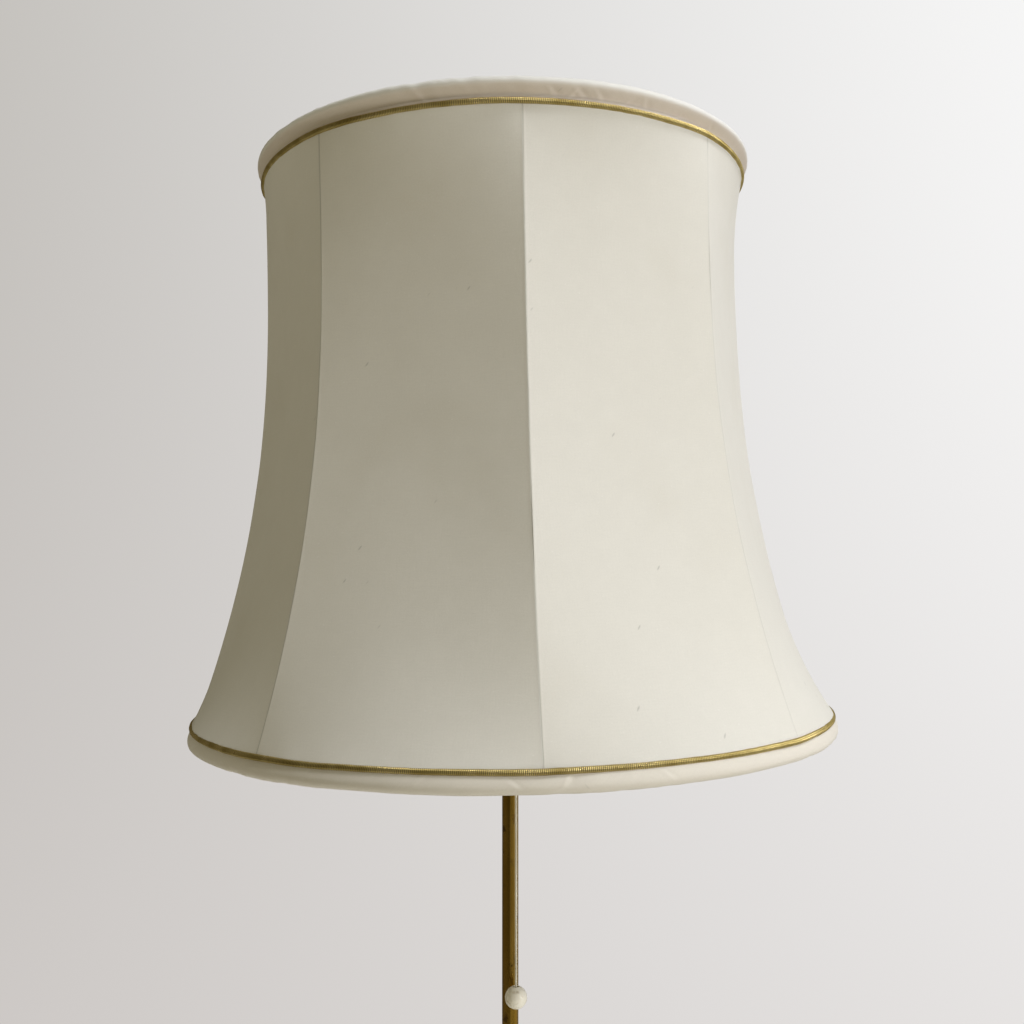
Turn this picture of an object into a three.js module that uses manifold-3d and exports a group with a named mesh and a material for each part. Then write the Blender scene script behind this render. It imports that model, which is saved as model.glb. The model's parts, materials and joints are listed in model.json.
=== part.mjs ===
// A floor lamp: weighted round base, thin brass pole in three screwed lengths, a pull-cord switch
// under the lampholder, and a waisted eight-rib fabric shade carried on a harp.
// Millimetres, +Z up. The origin is the middle of the base's underside, on the floor.
import * as THREE from 'three';
import { mergeVertices } from 'three/addons/utils/BufferGeometryUtils.js';
import Module from 'manifold-3d';

const wasm = await Module();
wasm.setup();

// ---------------------------------------------------------------- driving dimensions

const gap = 0.3;                 // air left between neighbouring pieces

const shade = {
  ribs: 8,
  turn: 0.0633,                  // how far the front rib stands to the right of straight ahead
  lean: 0.0181,                  // the harp is slightly bent, so the shade leans to the left
  leanPivot: 1265,               // height of the harp saddle, where the lean starts
  bottom: 1170,                  // height of the bottom wire ring and its piping
  top: 1585,                     // height of the top wire ring and its piping
  bottomPiping: 250,             // centre-line radius of the bottom piping
  topPiping: 193,
  waist: [[178.3, 185], [191.5, 326]],   // the rib curve's two inner control points
  cloth: 0.5,
  liningCloth: 0.4,
  pipingRadius: 2,
  ringWire: 2,
  ribWire: 1.5,
  trimHalfDepth: 7,              // the rolled trims, across
  bottomTrimHalfHeight: 6.4,
  topTrimHalfHeight: 6.1,
  steps: 4,                      // facets across one panel
  rows: 9,                       // facets up one panel
};

const base = { radius: 140, wall: 1.2, felt: 3, skirtTop: 13, neckRadius: 13, neckTop: 52 };
const pole = { radius: 6.5, wall: 1.2, bottom: 66, top: 1222, lengths: 3, ringHeight: 6 };
const thread = { radius: 5, bore: 3.5 };        // M10 hollow threaded tube
const lead = { radius: 2.4, height: 7.2 };

const cup = { radius: 28, wall: 1.2, bottom: 1230.3, top: 1262 };
const cord = { reach: 18.5, turn: 0.236, radius: 1, eyeHeight: 1217, eyeRadius: 2.8, eyeWire: 0.8 };
const ball = { radius: 8.7, height: 948, boreRadius: 2.2, boreDepth: 6 };
const travel = 6;                // how far the switch plunger comes down

const harp = { wire: 2, foot: 24, bow: 58, footBottom: 1284, straight: 26, top: 1541 };
const holder = { radius: 17, wall: 0.8, bottom: 1272, capTop: 1290, top: 1332 };
const bulb = { capRadius: 13.1, capBottom: 1305.6, capTop: 1330, glassRadius: 30, glassTop: 1414 };
const stud = { seat: 1544, radius: 3.1, top: 1560 };

// ---------------------------------------------------------------- materials

const finish = (color, roughness, metalness) =>
  new THREE.MeshStandardMaterial({ color, roughness, metalness });

const agedBrass = finish('#8a7444', 0.42, 1);
const brightBrass = finish('#c39a4a', 0.3, 1);
const steelWire = finish('#b9bbb8', 0.4, 1);
const zincSteel = finish('#a7aaa8', 0.38, 1);
const castIron = finish('#2e2d2b', 0.8, 0.6);
const felt = finish('#3a3d38', 0.98, 0);
const blackPlastic = finish('#1e1d1c', 0.5, 0);
const leadSheath = finish('#d8cba6', 0.5, 0);
const porcelain = finish('#ece8de', 0.25, 0);
const opalGlass = finish('#f4f1e8', 0.15, 0);
const shadeCloth = finish('#d9d1bd', 0.85, 0);
const liningCloth = finish('#ece6d8', 0.8, 0);
const trimCloth = finish('#dcd4bf', 0.8, 0);
const goldCord = finish('#a98a4c', 0.45, 0.5);
const creamCord = finish('#e2dcc6', 0.8, 0);
const creamBall = finish('#d8cfae', 0.35, 0);

// ---------------------------------------------------------------- shape helpers

const vec2 = (points) => points.map(([x, y]) => new THREE.Vector2(x, y));
const vec3 = (points) => points.map(([x, y, z]) => new THREE.Vector3(x, y, z));

// A turned piece. The profile is [radius, height] pairs, outside upwards, and either starts and
// ends on the axis or returns to its first point.
function turned(profile, segments = 20) {
  return new THREE.LatheGeometry(vec2(profile), segments).rotateX(Math.PI / 2);
}

const disc = (radius, bottom, top, segments) =>
  turned([[0, bottom], [radius, bottom], [radius, top], [0, top]], segments);

function tube(radius, bore, bottom, top, segments) {
  return turned([[bore, bottom], [radius, bottom], [radius, top], [bore, top], [bore, bottom]], segments);
}

// A spun shell: the outside profile, from its free edge inwards, and the same curve one wall
// thickness further in.
function spun(outside, wall, segments) {
  const inside = outside.map((point, i) => {
    const before = outside[Math.max(i - 1, 0)];
    const after = outside[Math.min(i + 1, outside.length - 1)];
    const run = new THREE.Vector2(after[0] - before[0], after[1] - before[1]).normalize();
    return [point[0] - run.y * wall, point[1] + run.x * wall];
  });
  return turned([...outside, ...inside.reverse(), outside[0]], segments);
}

// A ring with an elliptical section.
function roll(radius, height, halfDepth, halfHeight, sides, segments) {
  const section = [];
  for (let i = 0; i <= sides; i += 1) {
    const angle = (i % sides) * 2 * Math.PI / sides;
    section.push([radius + halfDepth * Math.cos(angle), height + halfHeight * Math.sin(angle)]);
  }
  return turned(section, segments);
}

// A round wire along a route, with one section at each of the route's own points.
class Route extends THREE.CatmullRomCurve3 {
  getPointAt(u, target) {
    return this.getPoint(u, target);
  }

  getTangentAt(u, target) {
    return this.getTangent(u, target);
  }
}

function wire(points, radius, sides = 8) {
  const section = [];
  for (let i = 0; i < sides; i += 1) {
    const angle = i * 2 * Math.PI / sides;
    section.push([radius * Math.cos(angle), radius * Math.sin(angle)]);
  }
  return new THREE.ExtrudeGeometry(new THREE.Shape(vec2(section)), {
    extrudePath: new Route(vec3(points)),
    steps: points.length - 1,
    bevelEnabled: false,
  });
}

function toSolid(geometry) {
  const plain = geometry.clone();
  plain.deleteAttribute('normal');
  plain.deleteAttribute('uv');
  const merged = mergeVertices(plain, 1e-4);
  return new wasm.Manifold(new wasm.Mesh({
    numProp: 3,
    vertProperties: new Float32Array(merged.attributes.position.array),
    triVerts: new Uint32Array(merged.index.array),
  }));
}

function toGeometry(solid) {
  const mesh = solid.getMesh();
  const geometry = new THREE.BufferGeometry();
  geometry.setAttribute('position', new THREE.BufferAttribute(mesh.vertProperties, 3));
  geometry.setIndex(new THREE.BufferAttribute(mesh.triVerts, 1));
  return geometry;
}

const cut = (body, ...tools) =>
  toGeometry(tools.reduce((solid, tool) => solid.subtract(toSolid(tool)), toSolid(body)));

const join = (...pieces) =>
  toGeometry(pieces.slice(1).reduce((solid, piece) => solid.add(toSolid(piece)), toSolid(pieces[0])));

const box = (x0, x1, y0, y1, z0, z1) => new THREE.BoxGeometry(x1 - x0, y1 - y0, z1 - z0)
  .translate((x0 + x1) / 2, (y0 + y1) / 2, (z0 + z1) / 2);

const hexNut = (bottom, top) =>
  cut(disc(8.5, bottom, top, 6), disc(thread.radius + gap, bottom - 1, top + 1, 16));

function piece(group, name, geometry, material) {
  const mesh = new THREE.Mesh(geometry, material);
  mesh.name = name;
  group.add(mesh);
}

// ---------------------------------------------------------------- base

function addBase(group) {
  const weight = { radius: base.radius - base.wall - 2, bottom: base.felt + gap, top: 14 };
  const well = { radius: 22, top: 20 };
  const hub = { radius: 34, top: 34 };
  const weightBody = turned([
    [well.radius, weight.bottom], [weight.radius, weight.bottom], [weight.radius, weight.top - 4],
    [weight.radius - 8, weight.top], [hub.radius + 20, weight.top + 6], [hub.radius, weight.top + 10],
    [hub.radius - 8, hub.top], [thread.radius + gap, hub.top], [thread.radius + gap, well.top],
    [well.radius, well.top], [well.radius, weight.bottom],
  ], 28);
  const leadChannel = box(-4, 4, well.radius - 4, base.radius, weight.bottom - 1, lead.height + 4);
  piece(group, 'base_felt', disc(weight.radius, 0, base.felt, 28), felt);
  piece(group, 'base_weight', cut(weightBody, leadChannel), castIron);

  const skirt = base.radius;
  const dome = [
    [skirt, 2], [skirt, base.skirtTop], [skirt - 3, 17], [skirt - 9, 19], [skirt - 24, 21],
    [skirt - 27, 25], [skirt - 34, 28], [80, 32], [45, 36.5], [25, 42], [16, 48],
    [base.neckRadius, base.neckTop],
  ];
  const cableHole = new THREE.CylinderGeometry(4.2, 4.2, 12, 16).translate(0, skirt - 2, lead.height);
  piece(group, 'base_cover', cut(spun(dome, base.wall, 28), cableHole), agedBrass);

  const bushing = turned([
    [2.9, 0], [3.9, 0], [3.9, 7.5], [5.2, 7.8], [4.9, 10], [2.9, 10], [2.9, 0],
  ], 16).rotateX(-Math.PI / 2).translate(0, skirt - 7.2, lead.height);
  piece(group, 'lead_bushing', bushing, blackPlastic);

  const nut = { bottom: 14.2, top: 18.2 };
  piece(group, 'base_washer', tube(15, thread.radius + gap, nut.top + gap, well.top - gap, 24), zincSteel);
  piece(group, 'base_locknut', hexNut(nut.bottom, nut.top), zincSteel);
  piece(group, 'base_nipple', tube(thread.radius, thread.bore, nut.bottom, pole.bottom + 20, 12),
    zincSteel);

  const collarBottom = base.neckTop + gap;
  const bore = thread.radius + gap;
  piece(group, 'base_collar', turned([
    [bore, collarBottom], [12, collarBottom], [13.5, collarBottom + 2], [12, collarBottom + 4],
    [9, collarBottom + 5.5], [8.4, collarBottom + 9], [10, collarBottom + 11],
    [8.4, pole.bottom - gap], [bore, pole.bottom - gap], [bore, collarBottom],
  ]), agedBrass);
}

// ---------------------------------------------------------------- pole

function addPole(group) {
  const bore = pole.radius - pole.wall;
  const length = (pole.top - pole.bottom) / pole.lengths;
  const names = ['lower', 'middle', 'upper'];
  names.forEach((name, i) => {
    const bottom = pole.bottom + i * length + (i > 0 ? pole.ringHeight / 2 + gap : 0);
    const top = pole.bottom + (i + 1) * length - (i < names.length - 1 ? pole.ringHeight / 2 + gap : 0);
    piece(group, `pole_${name}`, tube(pole.radius, bore, bottom, top, 16), agedBrass);
  });
  ['lower', 'upper'].forEach((name, i) => {
    const middle = pole.bottom + (i + 1) * length;
    const half = pole.ringHeight / 2;
    const inner = thread.radius + gap;
    piece(group, `joint_ring_${name}`, turned([
      [inner, middle - half], [7.2, middle - half], [8.2, middle - half + 1.5],
      [8.2, middle + half - 1.5], [7.2, middle + half], [inner, middle + half], [inner, middle - half],
    ], 16), agedBrass);
    piece(group, `joint_nipple_${name}`, tube(thread.radius, thread.bore, middle - 14, middle + 14, 12),
      zincSteel);
  });
}

// The mains lead inside the lamp: from the bushing, along the base's channel, up the pole and the
// threaded tubes to the lampholder's terminals.
function addInnerLead(group) {
  const h = lead.height;
  piece(group, 'inner_lead', wire([
    [0, base.radius - 2, h], [0, 100, h], [0, 50, h], [0, 18, h], [0, 9.5, h + 0.4], [0, 4.5, h + 2],
    [0, 1.4, h + 4.4], [0, 0.2, h + 7.5], [0, 0, h + 14], [0, 0, h + 30], [0, 0, 300], [0, 0, 700],
    [0, 0, 1100],
    [0, 0, holder.capTop - 2],
  ], lead.radius), leadSheath);
}

// ---------------------------------------------------------------- pull-cord switch

// These pieces are modelled with the cord straight ahead of the pole and then turned a little.
function addSwitch(group) {
  const bore = thread.radius + gap;
  piece(group, 'pole_cap', turned([
    [bore, pole.top + gap], [8, pole.top + gap], [9.5, pole.top + 2], [9.5, pole.top + 4],
    [12, cup.bottom - gap], [bore, cup.bottom - gap], [bore, pole.top + gap],
  ]), agedBrass);

  const inner = cup.radius - cup.wall;
  const floor = cup.bottom + cup.wall;
  const cupBody = turned([
    [bore, cup.bottom], [cup.radius - 3, cup.bottom], [cup.radius, cup.bottom + 3],
    [cup.radius, cup.top], [inner, cup.top], [inner, cup.bottom + 4], [inner - 2.4, floor],
    [bore, floor], [bore, cup.bottom],
  ], 28);
  const bushHole = new THREE.CylinderGeometry(3.3, 3.3, 10, 16).rotateX(Math.PI / 2)
    .translate(0, -cord.reach, cup.bottom);
  piece(group, 'switch_cup', cut(cupBody, bushHole), agedBrass);
  piece(group, 'switch_lid', turned([
    [bore, cup.top + gap], [cup.radius, cup.top + gap], [cup.radius - 1.5, cup.top + 2.2],
    [bore, cup.top + 2.2], [bore, cup.top + gap],
  ], 28), agedBrass);

  piece(group, 'cord_bush', turned([
    [1.6, cup.bottom - 6], [2.4, cup.bottom - 6], [3.6, cup.bottom - 3], [4.2, cup.bottom - gap],
    [3, cup.bottom - gap], [3, cup.bottom + 4], [1.6, cup.bottom + 4], [1.6, cup.bottom - 6],
  ], 16).translate(0, -cord.reach, 0), brightBrass);

  const mechanism = { bottom: floor + 5, top: cup.top - 4, bore: 2.4 };
  const plungerWell = new THREE.CylinderGeometry(mechanism.bore, mechanism.bore, 14, 16)
    .rotateX(Math.PI / 2).translate(0, -cord.reach, mechanism.bottom + 6);
  piece(group, 'switch_body',
    cut(box(-10, 10, -23.5, -8, mechanism.bottom, mechanism.top), plungerWell), blackPlastic);

  const eye = new THREE.TorusGeometry(cord.eyeRadius, cord.eyeWire, 6, 16).rotateX(Math.PI / 2)
    .translate(0, -cord.reach, cord.eyeHeight);
  const rodBottom = cord.eyeHeight + cord.eyeRadius;
  const head = cup.bottom + 4 + travel + 2;
  const rod = turned([
    [0, rodBottom], [1.2, rodBottom], [1.2, head], [2, head], [2, head + 5], [0, head + 5],
  ], 12).translate(0, -cord.reach, 0);
  piece(group, 'switch_plunger', join(rod, eye), brightBrass);

  // The cord is tied in the eye and ends in the ball's bore.
  const cordTop = cord.eyeHeight - cord.eyeRadius - cord.eyeWire - gap;
  const ballTop = ball.height + Math.sqrt(ball.radius ** 2 - ball.boreRadius ** 2);
  const cordBottom = ballTop - ball.boreDepth + gap;
  const steps = 12;
  const cordRoute = [];
  for (let i = 0; i <= steps; i += 1) {
    cordRoute.push([0, -cord.reach, THREE.MathUtils.lerp(cordTop, cordBottom, i / steps)]);
  }
  piece(group, 'pull_cord', wire(cordRoute, cord.radius), creamCord);

  const ballProfile = [[0, ball.height - ball.radius]];
  const borePoint = Math.asin(ball.boreRadius / ball.radius);
  const arcSteps = 8;
  for (let i = 1; i <= arcSteps; i += 1) {
    const angle = i / arcSteps * (Math.PI - borePoint);
    ballProfile.push([ball.radius * Math.sin(angle), ball.height - ball.radius * Math.cos(angle)]);
  }
  ballProfile.push([ball.boreRadius, ballTop - ball.boreDepth], [0, ballTop - ball.boreDepth]);
  piece(group, 'pull_ball', turned(ballProfile, 16).translate(0, -cord.reach, 0), creamBall);
}

// ---------------------------------------------------------------- lampholder and bulb

function addLampholder(group) {
  const bore = thread.radius + gap;
  piece(group, 'top_nipple',
    tube(thread.radius, thread.bore, pole.top - 16, holder.bottom + 10, 12), zincSteel);
  piece(group, 'harp_locknut', hexNut(1268, holder.bottom - gap), zincSteel);

  const capCurve = [
    [12, holder.bottom], [holder.radius, holder.bottom + 7], [holder.radius, holder.capTop],
  ];
  piece(group, 'lampholder_cap', turned([
    [bore, holder.bottom], ...capCurve, [holder.radius - holder.wall, holder.capTop],
    [holder.radius - holder.wall, holder.bottom + 7.4], [11.6, holder.bottom + 1.2],
    [bore, holder.bottom + 1.2], [bore, holder.bottom],
  ]), agedBrass);
  piece(group, 'lampholder_shell',
    tube(holder.radius, holder.radius - holder.wall, holder.capTop + gap, holder.top), agedBrass);

  const blockTop = holder.capTop + 12;
  piece(group, 'lampholder_insulator',
    disc(holder.radius - holder.wall - 0.5, holder.capTop + gap, blockTop, 20), porcelain);
  piece(group, 'centre_contact', disc(3, blockTop + gap, blockTop + 2.6, 12), brightBrass);
  piece(group, 'screw_sleeve',
    tube(14.2, 13.6, blockTop + gap, holder.top - 4), brightBrass);

  piece(group, 'bulb_cap', turned([
    [0, bulb.capBottom], [4.5, bulb.capBottom], [9, bulb.capBottom + 3],
    [bulb.capRadius, bulb.capBottom + 5], [bulb.capRadius, bulb.capTop], [0, bulb.capTop],
  ]), zincSteel);
  const globe = bulb.glassTop - bulb.glassRadius;
  const glass = [[12.6, bulb.capTop + gap], [13.5, bulb.capTop + 8], [18, bulb.capTop + 22]];
  const arcSteps = 6;
  for (let i = 0; i < arcSteps; i += 1) {
    const angle = -0.45 + i / arcSteps * (Math.PI / 2 + 0.45);
    glass.push([bulb.glassRadius * Math.cos(angle), globe + bulb.glassRadius * Math.sin(angle)]);
  }
  const glassWall = 1;
  const inside = glass.map(([r, z]) => [r - glassWall, z]);
  piece(group, 'bulb_glass', turned([
    ...glass, [0, bulb.glassTop], [0, bulb.glassTop - glassWall], ...inside.reverse(), glass[0],
  ], 16), opalGlass);
}

// ---------------------------------------------------------------- harp, spider and finial

function addHarp(group) {
  const plateBottom = 1265.6;
  const plate = 1.6;
  const outer = harp.foot + 2.4;
  const half = 8;
  const strap = join(
    box(-outer, outer, -half, half, plateBottom, plateBottom + plate),
    box(-outer, -outer + plate, -half, half, plateBottom, harp.footBottom - 3),
    box(outer - plate, outer, -half, half, plateBottom, harp.footBottom - 3),
  );
  const centreHole = new THREE.CylinderGeometry(5.7, 5.7, 8, 16).rotateX(Math.PI / 2)
    .translate(0, 0, plateBottom);
  const tongue = (side) => disc(1.6, harp.footBottom - 4, harp.footBottom + 4, 8)
    .translate(side * (outer - 1.6), 0, 0);
  piece(group, 'harp_saddle', cut(join(strap, tongue(-1), tongue(1)), centreHole), zincSteel);

  const legX = outer - 1.6;
  const legBottom = harp.footBottom + 4 + gap;
  const side = [
    [legX, legBottom], [legX, legBottom + 8], [legX, legBottom + 16], [legX, legBottom + harp.straight],
    [legX + 9, legBottom + 38], [harp.bow - 9, legBottom + 62], [harp.bow, legBottom + 96],
    [harp.bow, legBottom + 130], [harp.bow - 8, legBottom + 168], [harp.bow - 22, legBottom + 200],
    [harp.bow - 38, legBottom + 230], [12, harp.top - 2 * harp.wire - 3],
    [6, harp.top - harp.wire - gap], [0, harp.top - harp.wire - gap],
  ];
  const left = side.slice(0, -1).reverse();
  const bow = [...side.map(([x, z]) => [x, 0, z]), ...left.map(([x, z]) => [-x, 0, z])];
  piece(group, 'harp', wire(bow, harp.wire, 6), brightBrass);

  [['left', -1], ['right', 1]].forEach(([name, sign]) => {
    const ferrule = tube(3.5, harp.wire + gap, harp.footBottom - 2.6, harp.footBottom + 11, 12)
      .translate(sign * legX, 0, 0);
    piece(group, `harp_ferrule_${name}`, ferrule, brightBrass);
  });

  piece(group, 'harp_stud', turned([
    [0, harp.top], [8, harp.top], [8, stud.seat], [stud.radius, stud.seat], [stud.radius, stud.top],
    [0, stud.top],
  ]), brightBrass);

  const seat = stud.seat + gap;
  const washer = tube(14, stud.radius + gap, seat, seat + 2);
  const ringInside = shade.topPiping - shade.pipingRadius - gap - shade.cloth - gap - 2 * shade.ringWire;
  const armWire = 1.6;
  const arms = [];
  for (let i = 0; i < shade.ribs; i += 2) {
    const angle = (i + 1) * 2 * Math.PI / shade.ribs + shade.turn;
    arms.push(wire([
      [0, -12, seat + 1], [0, -30, seat + 3], [0, -80, seat + 15], [0, -130, seat + 30],
      [0, -160, shade.top - 2], [0, -172, shade.top], [0, -ringInside + 2 * gap, shade.top],
    ], armWire, 5).rotateZ(angle));
  }
  piece(group, 'spider', join(washer, ...arms), steelWire);

  const knob = seat + 2 + gap;
  const blind = stud.radius + gap;
  piece(group, 'finial', turned([
    [blind, knob], [8, knob], [8.6, knob + 2], [6, knob + 4], [4.4, knob + 7], [6.8, knob + 12],
    [8, knob + 17], [6.8, knob + 22], [3, knob + 25.5], [0, knob + 26], [0, stud.top + 1],
    [blind, stud.top + 1], [blind, knob],
  ]), brightBrass);
}

// ---------------------------------------------------------------- shade

const height = shade.top - shade.bottom;
const ribTurn = 2 * Math.PI / shade.ribs;
const clothAtBottom = shade.bottomPiping - shade.pipingRadius - gap;
const clothAtTop = shade.topPiping - shade.pipingRadius - gap;
const ribCurve = new THREE.CubicBezierCurve(...vec2([
  [clothAtBottom, 0], ...shade.waist, [clothAtTop, height],
]));

// Radius of the cloth over a rib, at a height above the bottom ring.
function ribRadius(z) {
  let low = 0;
  let high = 1;
  for (let i = 0; i < 30; i += 1) {
    const middle = (low + high) / 2;
    if (ribCurve.getPoint(middle).y < z) low = middle;
    else high = middle;
  }
  return ribCurve.getPoint(low).x;
}

// The cloth is flat between two ribs, and bows out to the round rings at its ends as a stretched
// film does, over about a third of the panel's width.
function clothRadius(z, angle) {
  const radius = ribRadius(z);
  const flat = radius * Math.cos(ribTurn / 2) / Math.cos(angle);
  const width = 2 * radius * Math.sin(ribTurn / 2);
  const nearRing = Math.exp(-Math.PI * Math.min(z, height - z) / width);
  return flat + (radius - flat) * nearRing;
}

// A thin wall's inner face is split along the same diagonals as its outer face, so that the two
// bend alike and the wall keeps its thickness.
function matchDiagonals(geometry, isInner) {
  const index = geometry.index.array;
  for (let i = 0; i < index.length; i += 6) {
    const [a, b, d, c] = new Set(index.slice(i, i + 6));
    if ([a, b, c, d].every(isInner)) index.set([a, b, c, a, c, d], i);
  }
}

// A panel is a block bent onto the cloth's surface. Its X runs from rib to rib, its Y through the
// cloth and its Z up the shade, with one short row at each end that laps the wire ring.
function panel() {
  const rows = shade.rows + 2;
  const lap = shade.ringWire;
  const geometry = new THREE.BoxGeometry(1, 1, 1, shade.steps, 1, rows);
  const position = geometry.attributes.position;
  matchDiagonals(geometry, (i) => position.getY(i) > 0);
  for (let i = 0; i < position.count; i += 1) {
    const row = Math.round((position.getZ(i) + 0.5) * rows);
    const z = THREE.MathUtils.clamp((row - 1) / shade.rows * height, -lap, height + lap);
    const level = THREE.MathUtils.clamp(z, 0, height);
    const margin = 0.25 / ribRadius(level);
    const angle = position.getX(i) * (ribTurn - 2 * margin);
    const depth = position.getY(i) > 0 ? shade.cloth : 0;
    const radius = clothRadius(level, angle) - depth;
    position.setXYZ(i, radius * Math.sin(angle), -radius * Math.cos(angle), z + shade.bottom);
  }
  return geometry;
}

// The lining is one closed band inside the ribs, with the same flats as the cloth outside.
function lining() {
  const offset = shade.cloth + 2 * shade.ringWire + 3 * gap;
  const rows = 6;
  const profile = [];
  for (let i = 0; i <= rows; i += 1) {
    profile.push([1, THREE.MathUtils.lerp(4, height - 6, i / rows)]);
  }
  const back = profile.map(([, z]) => [0.5, z]).reverse();
  const geometry = turned([...profile, ...back, profile[0]], shade.ribs * shade.steps);
  const position = geometry.attributes.position;
  matchDiagonals(geometry, (i) => Math.hypot(position.getX(i), position.getY(i)) < 0.75);
  for (let i = 0; i < position.count; i += 1) {
    const x = position.getX(i);
    const y = position.getY(i);
    const z = position.getZ(i);
    const around = Math.atan2(y, x) + Math.PI / 2;
    const panelAngle = around - ribTurn * (Math.floor(around / ribTurn + 1e-6) + 0.5);
    const depth = Math.hypot(x, y) > 0.75 ? offset : offset + shade.liningCloth;
    const scale = (clothRadius(z, panelAngle) - depth) / Math.hypot(x, y);
    position.setXYZ(i, x * scale, y * scale, z + shade.bottom);
  }
  return geometry;
}

const ringRadius = (cloth) => cloth - shade.cloth - gap - shade.ringWire;

// The welded wire frame: two rings and the ribs between them.
function frame() {
  const facets = shade.ribs * shade.steps;
  const ring = (cloth, level) =>
    roll(ringRadius(cloth), level, shade.ringWire, shade.ringWire, 5, facets);
  const inset = shade.cloth + (shade.ribWire + gap) / Math.cos(ribTurn / 2);
  const route = [];
  for (let i = 0; i <= shade.rows; i += 1) {
    const z = height * i / shade.rows;
    route.push([0, -ribRadius(z) + inset, z + shade.bottom]);
  }
  const wires = [];
  for (let i = 0; i < shade.ribs; i += 1) {
    wires.push(wire(route, shade.ribWire, 5).rotateZ(i * ribTurn));
  }
  return join(ring(clothAtBottom, shade.bottom), ring(clothAtTop, shade.top), ...wires);
}

function addShade(group) {
  const facets = shade.ribs * shade.steps;
  for (let i = 0; i < shade.ribs; i += 1) {
    piece(group, `shade_panel_${i + 1}`, panel().rotateZ((i + 0.5) * ribTurn), shadeCloth);
  }
  piece(group, 'shade_frame', frame(), steelWire);
  piece(group, 'shade_lining', lining(), liningCloth);

  const ends = [
    ['bottom', -1, shade.bottomPiping, shade.bottom, shade.bottomTrimHalfHeight],
    ['top', 1, shade.topPiping, shade.top, shade.topTrimHalfHeight],
  ];
  ends.forEach(([name, up, piping, level, halfHeight]) => {
    piece(group, `${name}_piping`,
      roll(piping, level, shade.pipingRadius, shade.pipingRadius, 6, facets), goldCord);
    const trimLevel = level + up * (shade.pipingRadius + gap + halfHeight);
    piece(group, `${name}_trim`,
      roll(piping - shade.trimHalfDepth, trimLevel, shade.trimHalfDepth, halfHeight, 8, facets),
      trimCloth);
  });
}

// ---------------------------------------------------------------- the lamp

const lamp = new THREE.Group();
addBase(lamp);
addPole(lamp);
addInnerLead(lamp);
addLampholder(lamp);

const switchGroup = new THREE.Group();
switchGroup.rotation.z = cord.turn;
addSwitch(switchGroup);
lamp.add(switchGroup);

const leaning = new THREE.Group();
leaning.position.z = shade.leanPivot;
leaning.rotation.y = -shade.lean;
const carried = new THREE.Group();
carried.position.z = -shade.leanPivot;
addHarp(carried);
const turnedShade = new THREE.Group();
turnedShade.rotation.z = shade.turn;
addShade(turnedShade);
carried.add(turnedShade);
leaning.add(carried);
lamp.add(leaning);

export default lamp;
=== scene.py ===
# %% [markdown]
# # A floor lamp with a ribbed cloth shade
# A slim brass pole stands on a round base and carries a waisted shade with eight ribs. A pull cord
# with a cream ball hangs beside the pole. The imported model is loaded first: it is the fixed frame,
# in metres with +Z up, and every piece made here goes where that frame says.

# %% Load the frame
import json
import math

import bpy
import numpy as np
from mathutils import Matrix, Vector, noise


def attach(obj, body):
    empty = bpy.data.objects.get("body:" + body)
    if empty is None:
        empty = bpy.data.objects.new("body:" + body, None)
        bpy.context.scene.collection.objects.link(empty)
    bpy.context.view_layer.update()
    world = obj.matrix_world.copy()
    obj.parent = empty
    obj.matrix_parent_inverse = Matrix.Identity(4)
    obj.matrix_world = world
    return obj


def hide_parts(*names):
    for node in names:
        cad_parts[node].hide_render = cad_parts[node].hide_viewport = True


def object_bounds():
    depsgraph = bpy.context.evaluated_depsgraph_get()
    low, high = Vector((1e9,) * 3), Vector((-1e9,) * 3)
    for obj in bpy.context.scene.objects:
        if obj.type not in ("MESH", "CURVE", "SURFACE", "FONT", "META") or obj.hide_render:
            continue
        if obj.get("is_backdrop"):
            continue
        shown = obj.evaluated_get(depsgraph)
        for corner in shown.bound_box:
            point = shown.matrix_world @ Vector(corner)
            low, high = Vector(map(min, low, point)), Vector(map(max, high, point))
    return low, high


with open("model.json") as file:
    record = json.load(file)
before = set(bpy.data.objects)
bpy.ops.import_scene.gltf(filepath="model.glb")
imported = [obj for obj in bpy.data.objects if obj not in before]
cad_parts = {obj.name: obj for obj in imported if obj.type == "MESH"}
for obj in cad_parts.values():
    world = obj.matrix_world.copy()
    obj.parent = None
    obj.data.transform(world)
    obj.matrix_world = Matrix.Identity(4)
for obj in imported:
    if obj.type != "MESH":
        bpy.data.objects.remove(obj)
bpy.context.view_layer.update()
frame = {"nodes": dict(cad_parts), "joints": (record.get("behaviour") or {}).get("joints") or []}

mm = 0.001

# %% [markdown]
# ## Sizes
# These are the lamp's own driving sizes, the same ones that the solid model is built from. Heights
# are from the floor. The shade's rib follows one smooth curve from the bottom ring to the top ring.

# %% Driving sizes
ribs = 8
shade_bottom, shade_top = 1.170, 1.585       # heights of the two wire rings
bottom_piping, top_piping = 0.250, 0.193     # centre-line radii of the gold pipings
piping_radius = 0.002
piping_gap = 0.0003
waist_curve = ((0.1783, 0.185), (0.1915, 0.326))
front_rib_turn = 0.0633
pole_radius, pole_wall = 0.0065, 0.0012
pole_bottom, pole_top = 0.066, 1.222
cord_reach, cord_turn, cord_radius = 0.0185, 0.236, 0.001
eye_height, eye_radius, eye_wire = 1.217, 0.0028, 0.0008
ball_height, ball_radius, ball_bore = 0.948, 0.0087, 0.0022

shade_height = shade_top - shade_bottom
cloth_bottom = bottom_piping - piping_radius - piping_gap
cloth_top = top_piping - piping_radius - piping_gap
rib_turn = 2 * math.pi / ribs

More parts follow.
